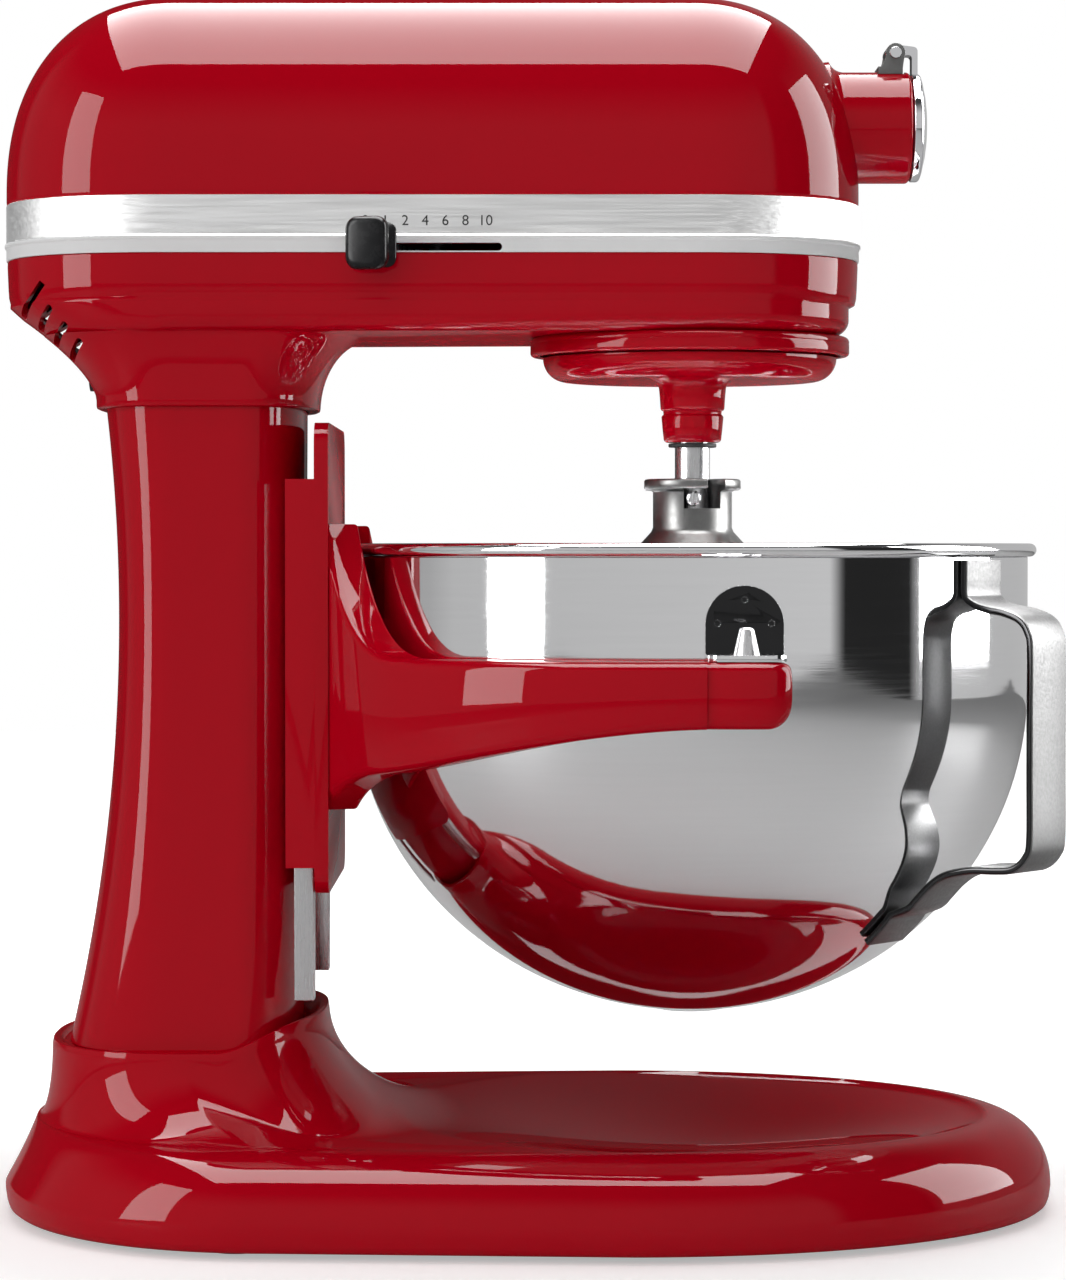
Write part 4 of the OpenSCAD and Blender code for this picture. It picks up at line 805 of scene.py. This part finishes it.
def hub_cap():
    """A chromed dome on a hinge, over the hub's socket."""
    rim = HUB_R - 0.5
    dome = [(0, 0.25 + 1.5), (15.4, 0.25 + 1.5), (15.4, 0.25), (rim - 0.6, 0.25)]
    dome += arc((rim - 0.6, 0.85), 0.6, -60, 0, 4) + [(rim, 2.2)]
    dome += arc((rim - 1.4, 2.2), 1.4, 15, 62, 6)
    dome += [(16.4, 3.95), (15.6, 4.05), (12, 4.95), (9, 5.4), (6, 5.68), (3, 5.85), (0, 5.9)]
    cap = lathe(dome, HUB_AT, "X", 128)
    knuckle = lathe([(2.15, -3.8), (2.9, -3.8), (3.3, -3.4), (3.3, 3.4), (2.9, 3.8), (2.15, 3.8)],
                    (COVER_X, 0, COVER_Z), "Y", 40)
    tab = [(HUB_TIP + 0.6, MOTOR + 15.8, 0.3), (HUB_TIP + 2.6, MOTOR + 15.8, 0.5),
           (HUB_TIP + 2.6, COVER_Z + 2.2, 1.6), (COVER_X, COVER_Z + 3.2, 0.5),
           (COVER_X + 1.2, COVER_Z - 2.6, 0), (COVER_X + 3.2, COVER_Z - 0.5, 0.8),
           (HUB_TIP + 0.6, COVER_Z - 0.5, 1.2)]
    strap = slab(rounded(tab, 5), lambda u, v, w: (u, w - 3.8, v), 7.6)
    piece("hub_cap", *join(cap, knuckle, strap), CHROME, "hub_cover", "polished_steel",
          ["hub_cover"], 32)


def hub_lug():
    lugs = []
    low = MOTOR + LUG_SEAT
    for s in (-1, 1):
        top = [(COVER_X + 3.3 * cos(t), COVER_Z + 3.3 * sin(t))
               for t in turns(-20, 190, 24)]
        side = top + [(COVER_X - 3.6, COVER_Z - 2.4), (COVER_X - 4.4, COVER_Z - 4.2),
                      (COVER_X - 5.9, low + 1.6), (COVER_X - 5.9, low + 0.3), (COVER_X + 2.4, low + 0.3),
                      (COVER_X + 2.6, COVER_Z - 4.5)]
        lugs.append(scratch(*slab(side, lambda u, v, w, s=s: (u, s * 5.6 - 1.5 + w, v), 3)))
    foot = block((COVER_X - 6, -7.1, low), (COVER_X + 2.5, 7.1, low + 2.6))
    obj = piece("hub_lug", *foot, CAST, "stand", "cast_aluminium", ["cover_lug"])
    carve(obj, lugs, "UNION")
    finish_mesh(obj, 40)
    bevelled(obj, 0.3, 2)
    ends = [(0, -8), (1.9, -8), (2.1, -7.7), (2.1, 7.7), (1.9, 8), (0, 8)]
    round_part("hub_pin", ends, (COVER_X, 0, COVER_Z), "Y", CHROME, "stand", "satin_steel",
               ["cover_hinge_pin"], 40)


def thumb_screw():
    """The knob that clamps an attachment in the hub: a stem, a collar and a fluted grip."""
    grip = []
    rows = [(HUB_R + 1.5, 6.0, 0), (HUB_R + 1.9, 6.6, 0), (HUB_R + 5.0, 9.3, 0), (HUB_R + 5.8, 9.7, 0.2),
            (HUB_R + 6.6, 9.8, 0.45), (HUB_R + 13.6, 9.8, 0.45), (HUB_R + 14.6, 9.5, 0.3),
            (HUB_R + 15.6, 8.6, 0.1), (HUB_R + 16.2, 7.6, 0), (HUB_R + 16.5, 6.4, 0)]
    for at, r, flute in rows:
        grip.append([(HUB_TIP - 13 + (r + flute * cos(16 * a)) * cos(a), at,
                      MOTOR + (r + flute * cos(16 * a)) * sin(a))
                     for a in np.linspace(0, 2 * pi, 192, endpoint=False)])
    stem = lathe([(0, 16.4), (3.7, 16.4), (3.7, HUB_R + 2), (0, HUB_R + 2)],
                 (HUB_TIP - 13, 0, MOTOR), "Y", 40)
    piece("clamp_screw", *join(loft(grip), stem), PLASTIC, "hub_screw", "black_plastic",
          ["hub_screw_knob"], 40)


# ---------- bowl, its yoke and handle ----------

YOKE_IN, YOKE_OUT = RIM_R + 2.2, 140.5
PAD_X, PAD_L, PAD_H = 12.8, 28.4, 21.0
LOCATE_Y = (YOKE_IN + YOKE_OUT) / 2 - 0.4


def fillet_rect(r0, r1, z0, z1, c, steps=4):
    return rounded([(r0, z0, min(c, 1.6)), (r1, z0, c), (r1, z1, c), (r0, z1, min(c, 1.6))], steps)


def yoke_arm_ring(a):
    root = 1 - ease((a - 24) / 50)
    up = 1 - clamp01((a - 22) / 22)
    zt = YOKE_TOP + 44 * up ** 2.2
    zb = mix(YOKE_TOP - PAD_H, YOKE_TOP - 40, ease((92 - a) / 66)) - 12 * (1 - clamp01((a - 22) / 16)) ** 2
    ro = mix(YOKE_OUT, YOKE_OUT - 5, root)
    c, s = cos(radians(a)), sin(radians(a))
    return [(BOWL_X - u * c, u * s, v) for u, v in fillet_rect(YOKE_IN, ro, zb, zt, 3.2)]


RAIL_X, RAIL_T, RAIL_Y, RAIL_W = COLUMN_FRONT + 0.2, 6.8, 44.0, 8.0
FACE_X, FACE_T = RAIL_X + RAIL_T + 0.4, 4.7
CHEEK_Y, CHEEK_T = RAIL_Y + RAIL_W + 0.4, 6.0
CARRIAGE_Z, CARRIAGE_H = YOKE_TOP - 71, 130.0


def yoke():
    parts = []
    for s in (-1, 1):
        rings = [[(x, s * y, z) for x, y, z in yoke_arm_ring(a)] for a in np.linspace(22, 90, 60)]
        parts.append(scratch(*loft(rings)))
        rings = []
        nose = PAD_L - 8 + 8 * np.sin(np.linspace(0.1, 1.5, 14))
        for u in [0, 0.6, *np.linspace(2, PAD_L - 8, 12), *nose]:
            end = 1 - sqrt(1 - clamp01((u - PAD_L + 8) / 8) ** 2)
            section = fillet_rect(YOKE_IN + 1.5 * end, YOKE_OUT - 2.2 * ((u - 13) / 15) ** 2 - 4 * end,
                                  YOKE_TOP - PAD_H + 8 * end, YOKE_TOP - 4 * end * end, 3.6, 5)
            rings.append([(BOWL_X - 1.4 + u, s * q, v) for q, v in section])
        parts.append(scratch(*loft(rings)))
        y0 = s * (CHEEK_Y + CHEEK_T / 2) - CHEEK_T / 2
        lo, hi = sorted((s * 46, s * (CHEEK_Y + CHEEK_T - 1)))
        parts += [brick((RAIL_X - 2.4, y0, CARRIAGE_Z),
                        (RAIL_X + RAIL_T + 0.6, y0 + CHEEK_T, CARRIAGE_Z + CARRIAGE_H)),
                  brick((FACE_X + FACE_T / 2, lo, YOKE_TOP - 44),
                        (FACE_X + FACE_T / 2 + 14, hi, YOKE_TOP + 12))]
    half, tall = CHEEK_Y + CHEEK_T, CARRIAGE_H + 28
    low = CARRIAGE_Z + CARRIAGE_H / 2 + 5 - tall / 2
    plate = rounded([(-half, low, 8), (half, low, 8), (half, low + tall, 8), (-half, low + tall, 8)], 8)
    face = scratch(*slab(plate, lambda u, v, w: (FACE_X + w, u, v), FACE_T))
    window = brick((FACE_X - 2, -30, YOKE_TOP - 8), (FACE_X + 8, 30, YOKE_TOP + 32))
    obj = piece("yoke", *taken(face), ENAMEL, "bowl_support", "red_enamel", ["bowl_yoke"])
    carve(obj, [window])
    carve(obj, parts, "UNION")
    finish_mesh(obj, 40)
    bevelled(obj, 0.9, 3, 40)


def pins():
    both = []
    for s in (-1, 1):
        profile = [(0, -8), (3, -8), (3, 0), (4.4, 0), (4.5, 0.2), (4.5, 1.0), (2.45, 10.0), (2.2, 10.6),
                   (1.7, 10.95), (0, 11)]
        both.append(lathe(profile, (BOWL_X + PAD_X, s * LOCATE_Y, YOKE_TOP), "Z", 48))
    piece("rest_pins", *join(*both), SATIN, "bowl_support", "satin_steel", ["locating_pins"])


def bowl_profile(t):
    span = BOWL_BEND - BOWL_FOOT - t
    return [((SHELL_R - t) * cos(a), BOWL_BEND - span * sin(a))
            for a in turns(0, 82, 48)]


def bowl():
    foot_r, wall = 11.0, 1.0
    out, inner = bowl_profile(0), bowl_profile(wall)
    join_r = RIM_R - BEAD_R
    bead = arc((join_r, RIM), BEAD_R, 232, -128, 26)
    profile = [(0, BOWL_FOOT + wall), (foot_r, BOWL_FOOT + wall)] + inner[::-1]
    profile += [(SHELL_R - wall, RIM - BEAD_R + 0.6)] + bead + [(SHELL_R, RIM - BEAD_R - 0.3)] + out
    profile += [(foot_r, BOWL_FOOT), (0, BOWL_FOOT)]
    round_part("bowl", profile, (BOWL_X, 0, 0), "Z", POLISHED, "bowl", "polished_steel", ["mixing_bowl"],
               256, 30)


PLATE_R, PLATE_Z = 12.5, 11.5


def brackets():
    """Plates welded to the bowl, each with three weld dimples and a flange that drops over a pin."""
    parts = []
    for s in (-1, 1):
        outline = [(PLATE_R, 0)] + [(PLATE_R * cos(t), PLATE_Z + PLATE_R * sin(t))
                                    for t in turns(180, 0, 40)][::-1] + [(-PLATE_R, 0)]
        x, y = BOWL_X + PAD_X, SHELL_R
        end = LOCATE_Y + 6.5 - y
        tall = scratch(*slab(outline, lambda u, v, w, s=s: (x + u, s * (y + w), YOKE_TOP + v), 1.9))
        flange = rounded([(-PLATE_R, -1, 0), (PLATE_R, -1, 0), (PLATE_R, end, 5), (-PLATE_R, end, 5)], 8)
        shelf = scratch(*slab(flange, lambda u, v, w, s=s: (x + u, s * (y + v), YOKE_TOP + 0.2 + w), 2))
        carve(tall, [shelf], "UNION")
        carve(tall, [rod(4.8, -3, 6, (x, s * LOCATE_Y, YOKE_TOP), "Z", 48)])
        spot = [(0, s * (y + 1.5)), (0.9, s * (y + 1.55)), (1.3, s * (y + 2.4)), (0, s * (y + 2.4))]
        carve(tall, [scratch(*lathe(spot, (x + dx, 0, YOKE_TOP + dz), "Y", 24))
                     for dx, dz in ((-8.6, 12), (8.6, 12), (0, 19.5))])
        parts.append(taken(tall))
    obj = piece("bowl_plates", *join(*parts), POLISHED, "bowl", "polished_steel", ["bowl_brackets"], 35)
    bevelled(obj, 0.3, 2)
    # The plates' outer faces get the near-black steel: a painted dark reflection
    shade_faces(obj, PAINTED_DARK_REFLECTION, lambda c, n: abs(n.y) > 0.95 and abs(c.y) > (SHELL_R + 1) * MM
                and c.z > (YOKE_TOP + 2.3) * MM)


HANDLE_A, STRAP_W, STRAP_T, GRIP_OUT = -38.0, 22.0, 2.5, 22.0


def handle():
    """A flat strap bent out from under the rim, down past the hand and back to the bowl's round side."""
    grip_r = RIM_R + GRIP_OUT
    z1, z0 = RIM - 21.3, RIM - 103.3
    out = [p for p in bowl_profile(-0.15) if z0 - 17 > p[1] > z0 - 27]
    bends = [(SHELL_R + 0.1, z1 + 18), (SHELL_R + 0.1, z1 + 12), (SHELL_R + 0.1, z1 + 7), (118.4, z1 + 4.2),
             (122.3, z1 + 1.9), (127.5, z1 + 0.5), (133.0, z1 - 0.4), (grip_r - 3.4, z1 - 2.6),
             (grip_r - 0.8, z1 - 6.2), (grip_r, z1 - 11), (grip_r, z1 - 30), (grip_r, z0 + 30),
             (grip_r, z0 + 9.5), (grip_r - 1.3, z0 + 4.2), (grip_r - 5.5, z0 + 0.6), (grip_r - 12, z0 - 0.2),
             (grip_r - 22, z0 - 0.6), (110.5, z0 - 2.8), (104.4, z0 - 6.6), (99.2, z0 - 11.6),
             (96.0, z0 - 14.6)]
    pts = smooth(bends + out)
    rings = []
    rot = radians(HANDLE_A)
    radial = np.array([cos(rot), sin(rot), 0])
    side = np.array([-sin(rot), cos(rot), 0])
    for i, p in enumerate(pts):
        d = pts[min(i + 1, len(pts) - 1)] - pts[max(i - 1, 0)]
        d /= np.linalg.norm(d)
        inward = np.array([d[1], -d[0]])
        outline = rounded([(-STRAP_W / 2, -STRAP_T, 0.7), (STRAP_W / 2, -STRAP_T, 0.7),
                           (STRAP_W / 2, 0, 0.7), (-STRAP_W / 2, 0, 0.7)], 3)
        ring3 = []
        for u, v in outline:
            q = p + inward * v
            ring3.append(np.array([BOWL_X, 0, 0]) + radial * q[0] + side * u + np.array([0, 0, q[1]]))
        rings.append(ring3)
    obj = piece("grip", *loft(rings), BLASTED, "bowl", "blasted_steel", ["bowl_handle"], 50)
    # The strap's side edges get the near-black steel: a painted dark reflection
    edge = Vector(side)
    shade_faces(obj, PAINTED_DARK_REFLECTION, lambda c, n: abs(n.dot(edge)) > 0.93)


# ---------- planetary and whip ----------

DISH_TOP = HEAD_UNDER - 7
DISH_LOW = DISH_TOP - 8.2
BOSS_END = DISH_LOW - 21.8
PIN_Z = BOSS_END - 19.2
WHIP_TOP = BOSS_END - 12.5
SHAFT_FOOT = WHIP_TOP - 22


def planetary():
    profile = [(0, DISH_LOW), (43, DISH_LOW)] + arc((43, DISH_LOW + 8), 8, -86, 0, 16)
    profile += [(51, DISH_TOP - 0.4), (50.6, DISH_TOP), (44, DISH_TOP), (44, DISH_TOP + 3.5),
                (14, DISH_TOP + 3.5), (14, DISH_TOP + 5), (0, DISH_TOP + 5)]
    obj = piece("planet_carrier", *lathe(profile, NOSE_AT, "Z", 160), ENAMEL, "planetary",
                "red_enamel", ["planetary"])
    boss = [(0, DISH_LOW + 3), (15.6, DISH_LOW + 3), (15.2, DISH_LOW + 0.2)]
    boss += arc((15.6, DISH_LOW - 4.0), 4.2, 100, 176, 8)
    boss += [(11.2, DISH_LOW - 6), (10.9, DISH_LOW - 10.3), (10.6, DISH_LOW - 10.8), (10.0, DISH_LOW - 11.1),
             (9.9, DISH_LOW - 12.2), (10.3, DISH_LOW - 12.6), (10.6, DISH_LOW - 13.1),
             (10.2, DISH_LOW - 17.5), (9.8, BOSS_END + 0.9), (9.4, BOSS_END + 0.3), (8.8, BOSS_END),
             (0, BOSS_END)]
    carve(obj, [scratch(*lathe(boss, SHAFT_AT, "Z", 96))], "UNION")
    carve(obj, [rod(8, -10, 90, (SHAFT_X, SHAFT_Y, BOSS_END), "Z", 64),
                rod(8, HEAD_UNDER - 9, HEAD_UNDER + 20, NOSE_AT, "Z", 64)])
    finish_mesh(obj, 40)
    bevelled(obj, 0.35, 2, 50)


def shaft_pieces():
    r = (shaft_hi[0] - shaft_lo[0]) / 2
    profile = [(0, SHAFT_FOOT), (r - 0.8, SHAFT_FOOT), (r, SHAFT_FOOT + 0.8), (r, shaft_hi[2]),
               (0, shaft_hi[2])]
    obj = round_part("spindle", profile, SHAFT_AT, "Z", SATIN, "agitator", "satin_steel",
                     ["agitator_shaft"], 64)
    carve(obj, [rod(2.62, -20, 20, (SHAFT_X, SHAFT_Y, PIN_Z), "Y", 32)])
    finish_mesh(obj, 40)
    ends = [(0, -14.4), (1.7, -14.4), (2.4, -13.9), (2.6, -13.3), (2.6, 13.3), (2.4, 13.9), (1.7, 14.4),
            (0, 14.4)]
    round_part("drive_pin", ends, (SHAFT_X, SHAFT_Y, PIN_Z), "Y", SATIN, "agitator", "satin_steel",
               ["cross_pin"], 48)
    washer = [(6.02, BOSS_END - 1.7), (7.9, BOSS_END - 1.7), (8.2, BOSS_END - 1.4), (8.2, BOSS_END - 0.6),
              (7.9, BOSS_END - 0.3), (6.02, BOSS_END - 0.3)]
    round_part("seal_washer", washer, SHAFT_AT, "Z", RUBBER, "agitator", "black_rubber",
               ["shaft_washer"], 64)


HUB_WALL, TWIST = 13.5, 28.0


def whip_head():
    """The whip's cast hub, with an L-shaped slot each side for the cross pin."""
    z = WHIP_TOP
    profile = [(0, z - 25.7), (19.9, z - 25.7), (20.5, z - 25.3), (20.5, z - 24.7), (20.0, z - 24.2),
               (17.2, z - 21.4), (15.0, z - 19.0), (14.1, z - 18.0), (HUB_WALL, z - 16.6),
               (HUB_WALL, z - 4.4), (14.2, z - 3.9), (15.9, z - 3.8), (16.5, z - 3.2), (16.5, z - 0.7),
               (16.1, z - 0.15), (15.4, z), (7, z), (6.3, z - 0.6)]
    obj = round_part("whip_head", [*profile[:-2], (0, z)], SHAFT_AT, "Z", CAST, "whip",
                     "cast_aluminium", ["whip_hub"], 96)
    window = 2 * 2.6 + 1.6
    hole = [(0, SHAFT_FOOT - 0.5), (6.05, SHAFT_FOOT - 0.5), (6.05, z - 0.7), (6.9, z + 0.3), (6.9, z + 9),
            (0, z + 9)]
    cuts = [scratch(*lathe(hole, SHAFT_AT, "Z", 64))]
    for turn in (-90, 90):
        wedge = turns(turn, turn + TWIST, 16)
        low = [(SHAFT_X + r * cos(a), SHAFT_Y + r * sin(a), PIN_Z - window / 2)
               for r, order in ((20, wedge), (5, wedge[::-1])) for a in order]
        cuts.append(scratch(*loft([low, [(x, y, z + window) for x, y, z in low]])))
        for angle, tall in ((turn, window), (turn + TWIST, 24)):
            a = radians(angle)
            out, side = Vector((cos(a), sin(a), 0)), Vector((-sin(a), cos(a), 0))
            foot = Vector((SHAFT_X, SHAFT_Y, PIN_Z - window / 2))
            half = window / 2
            cuts.append(scratch(*slab(
                [(0, -half), (20, -half), (20, half), (0, half)],
                lambda u, v, w, f=foot, o=out, s=side: tuple(f + o * u + s * v + Vector((0, 0, w))), tall)))
    carve(obj, cuts)
    finish_mesh(obj, 38)
    bevelled(obj, 0.3, 2, 45)


WIRE_R, WHIP_R, LEG_R, LOOPS = 1.1, 51.0, 16.5, 6
WHIP_FOOT = node_box("whip_wires")[0][2]


def whip_wires():
    """Six wire loops, each with a round bottom and straight legs that end in the hub's foot."""
    top = WHIP_TOP - 24.9 + 1
    loops = []
    for i in range(LOOPS):
        big = WHIP_R - WIRE_R
        cz = WHIP_FOOT + i * (2 * WIRE_R + 0.15) + WIRE_R + big
        v = np.array([LEG_R, top - cz])
        a = atan2(v[1], v[0]) - acos(big / np.linalg.norm(v))
        arc_line = [(big * cos(t), cz + big * sin(t)) for t in np.linspace(a, -pi - a, 72)]
        line = [(LEG_R, top)] + arc_line + [(-LEG_R, top)]
        turn = radians(180 * i / LOOPS)
        loops.append(sweep([(SHAFT_X + u * cos(turn), SHAFT_Y + u * sin(turn), w) for u, w in line],
                           WIRE_R, 12))
    piece("wire_loops", *join(*loops), SATIN, "whip", "polished_steel", ["whip_wires"], 50)



def lever_grip():
    """The black grip on the lift lever."""
    x, z = LIFT_X, LIFT_Z
    y = COLUMN_FOOT_W / 2 + 4.5
    profile = [(0, -7.9), (6.4, -8), (7, -7.5), (8.8, -5), (9.1, -3), (9.4, 5), (9.7, 12), (10.3, 20),
               (10.5, 24), (10.2, 28), (9.2, 31), (7.4, 33), (4.5, 33.4), (0, 33.5)]
    obj = round_part("lever_grip", profile, (x, y, z + 58), "Z", PLASTIC, "lift_lever", "black_plastic",
                     ["lift_lever_knob"], 64)
    carve(obj, [brick((x - 7, y - 2.5, z + 48), (x + 7, y + 2.5, z + 59))])
    finish_mesh(obj, 40)


def lever_blade():
    """The lift lever's steel arm: a hub on the shaft and a flat blade up to the grip."""
    x, z = LIFT_X, LIFT_Z
    y = COLUMN_FOOT_W / 2
    hub = [(6, 0), (11.4, 0), (12, 0.6), (12, 8.4), (11.4, 9), (6, 9)]
    obj = round_part("lever_blade", hub, (x, y, z), "Y", SATIN, "lift_lever", "satin_steel",
                     ["lift_lever_arm"], 96)
    blade = brick((x - 7, y + 2, z + 9), (x + 7, y + 7, z + 58))
    carve(obj, [blade], "UNION")
    finish_mesh(obj, 40)
    bevelled(obj, 0.4, 2)


def guide_rails():
    lo, hi = node_box("guide_rails")
    rails = [block((lo[0], s * (RAIL_Y + RAIL_W / 2) - RAIL_W / 2, lo[2]),
                   (hi[0], s * (RAIL_Y + RAIL_W / 2) + RAIL_W / 2, hi[2])) for s in (-1, 1)]
    bevelled(piece("rails", *join(*rails), SATIN, "stand", "satin_steel", ["guide_rails"]), 0.5, 3)


def feet():
    """Rubber feet, rounded underneath, with a plug up into the base."""
    profile = [(0, 0), (9.6, 0)] + arc((11.0, 1.6), 1.6, -80, -10, 6)
    profile += [(13, 2.0), (13, 2.5), (12, 3.5), (4, 3.5), (4, 11.5), (0, 11.5)]
    spots = [(-150, 0), (-95, 88), (-95, -88), (105, 78), (105, -78)]
    piece("feet", *join(*[lathe(profile, (x, y, 0), "Z", 48) for x, y in spots]), RUBBER, "stand",
          "black_rubber", ["rubber_feet"])


for build in (base_shell, column_shell, gearcase_shell, motor_shell, trim_band, speed_scale, speed_knob,
              trim_screw_heads, closing_ring, hub_cap, hub_lug, thumb_screw, yoke, pins, bowl, brackets,
              handle, planetary, shaft_pieces, whip_head, whip_wires, lever_grip, lever_blade, guide_rails,
              feet):
    build()

# ---------- camera, floor and light ----------

VIEW_X, VIEW_Y, VIEW_Z = 1.5, -1350.0, 228.3
PITCH = 1.331
FOCAL = 108.9


def studio():
    camera = bpy.data.cameras.new("camera")
    camera.sensor_fit = "VERTICAL"
    camera.sensor_height = 36
    camera.lens = FOCAL
    eye = bpy.data.objects.new("camera", camera)
    eye.location = (VIEW_X * MM, VIEW_Y * MM, VIEW_Z * MM)
    eye.rotation_euler = (radians(90 - PITCH), 0, 0)
    bpy.context.scene.collection.objects.link(eye)
    bpy.context.scene.camera = eye
    bpy.context.scene.view_settings.view_transform = "Standard"

    floor_mat = finish("pale_floor", (0.78, 0.78, 0.78), 0.0, 0.6, 0.7, scale=3, bump=0.0,
                       shade=(0.77, 0.77, 0.77), specular=0.1)
    nodes = floor_mat.node_tree.nodes
    shine = nodes["Principled BSDF"]
    preset(shine, Emission_Color=(1, 1, 1, 1))
    # The floor glows for the camera alone, less near the mixer, so that its shine on the steel stays grey
    sight, glow = nodes.new("ShaderNodeLightPath"), nodes.new("ShaderNodeMath")
    spot = nodes.new("ShaderNodeTexCoord")
    away, fade = nodes.new("ShaderNodeVectorMath"), nodes.new("ShaderNodeMapRange")
    glow.operation, away.operation = "MULTIPLY", "LENGTH"
    preset(fade, From_Min=0.2, From_Max=0.5, To_Min=0.42, To_Max=1.05)
    wire(floor_mat.node_tree, (spot, "Object", away, 0), (away, "Value", fade, "Value"),
         (fade, "Result", glow, 1), (sight, "Is Camera Ray", glow, 0),
         (glow, 0, shine, "Emission Strength"))
    half = 3.5 / MM
    floor = linked("floor", [(-half, -half, 0), (half, -half, 0), (half, half, 0), (-half, half, 0)],
                   [(0, 1, 2, 3)])
    floor.data.materials.append(floor_mat)

    def panel(name, place, aim, size, radiance, glossy):
        light = bpy.data.lights.new(name, "AREA")
        light.shape = "RECTANGLE"
        light.size, light.size_y = size
        light.energy = radiance * pi * size[0] * size[1]
        lamp = bpy.data.objects.new(name, light)
        lamp.location = place
        lamp.rotation_euler = (Vector(aim) - Vector(place)).to_track_quat("-Z", "Y").to_euler()
        lamp.visible_diffuse, lamp.visible_glossy = not glossy, glossy
        bpy.context.scene.collection.objects.link(lamp)

    # Soft boxes that only show in the finish, then broad lights that only brighten it
    panel("overhead_box", (0.0, 0.40, 1.65), (0, 0.40, 0), (1.5, 2.2), 18.0, True)
    panel("right_box", (1.4, 0.15, 0.8), (0, 0.15, 0.8), (0.9, 1.3), 16.0, True)
    panel("left_box", (-1.25, -0.75, 0.8), (0, 0, 0.8), (0.55, 1.3), 12.0, True)
    panel("overhead_fill", (0.0, 0.0, 1.7), (0, 0, 0), (1.6, 1.4), 1.7, False)
    panel("front_fill", (-0.5, -1.7, 1.0), (0, 0, 0.2), (1.6, 1.2), 1.2, False)
    panel("left_fill", (-1.5, -0.7, 0.4), (0, 0, 0.2), (1.0, 0.8), 1.6, False)

    world = bpy.data.worlds.new("studio")
    bpy.context.scene.world = world
    world.use_nodes = True
    nodes = world.node_tree.nodes
    back = nodes["Background"]
    where, apart = nodes.new("ShaderNodeTexCoord"), nodes.new("ShaderNodeSeparateXYZ")
    flip, turn = nodes.new("ShaderNodeMath"), nodes.new("ShaderNodeMath")
    spread, ramp = nodes.new("ShaderNodeMapRange"), nodes.new("ShaderNodeValToRGB")
    height, dim = nodes.new("ShaderNodeMapRange"), nodes.new("ShaderNodeMix")
    seen, pick = nodes.new("ShaderNodeLightPath"), nodes.new("ShaderNodeMix")
    flip.operation, turn.operation = "MULTIPLY", "ARCTAN2"
    flip.inputs[1].default_value = -1
    dim.data_type = pick.data_type = "RGBA"
    wire(world.node_tree, (where, "Generated", apart, 0), (apart, "Y", flip, 0), (apart, "X", turn, 0),
         (flip, 0, turn, 1))
    preset(spread, From_Min=-pi, From_Max=pi)
    wire(world.node_tree, (turn, 0, spread, "Value"), (spread, "Result", ramp, "Fac"))
    preset(height, From_Min=0.45, From_Max=0.75)
    wire(world.node_tree, (apart, "Z", height, "Value"), (height, "Result", dim, "Factor"),
         (ramp, "Color", dim, "A"))
    preset(dim, B=(0.06, 0.06, 0.06, 1))
    wire(world.node_tree, (seen, "Is Camera Ray", pick, "Factor"), (dim, "Result", pick, "A"))
    preset(pick, B=(1, 1, 1, 1))
    wire(world.node_tree, (pick, "Result", back, "Color"))
    # Grey levels round the room by azimuth in degrees, 0 towards the camera and positive to the front end
    stops = [(-180, 0.05), (-132, 0.05), (-124, 0.4), (-100, 0.45), (-88, 0.56), (0, 0.62), (45, 0.66),
             (50, 0.02), (76, 0.02), (82, 0.6), (170, 0.5), (180, 0.05)]
    bands = ramp.color_ramp.elements
    bands[0].position, bands[0].color = 0, (stops[0][1],) * 3 + (1,)
    bands[1].position, bands[1].color = 1, (stops[-1][1],) * 3 + (1,)
    for azimuth, level in stops[1:-1]:
        bands.new((azimuth + 180) / 360).color = (level,) * 3 + (1,)


studio()
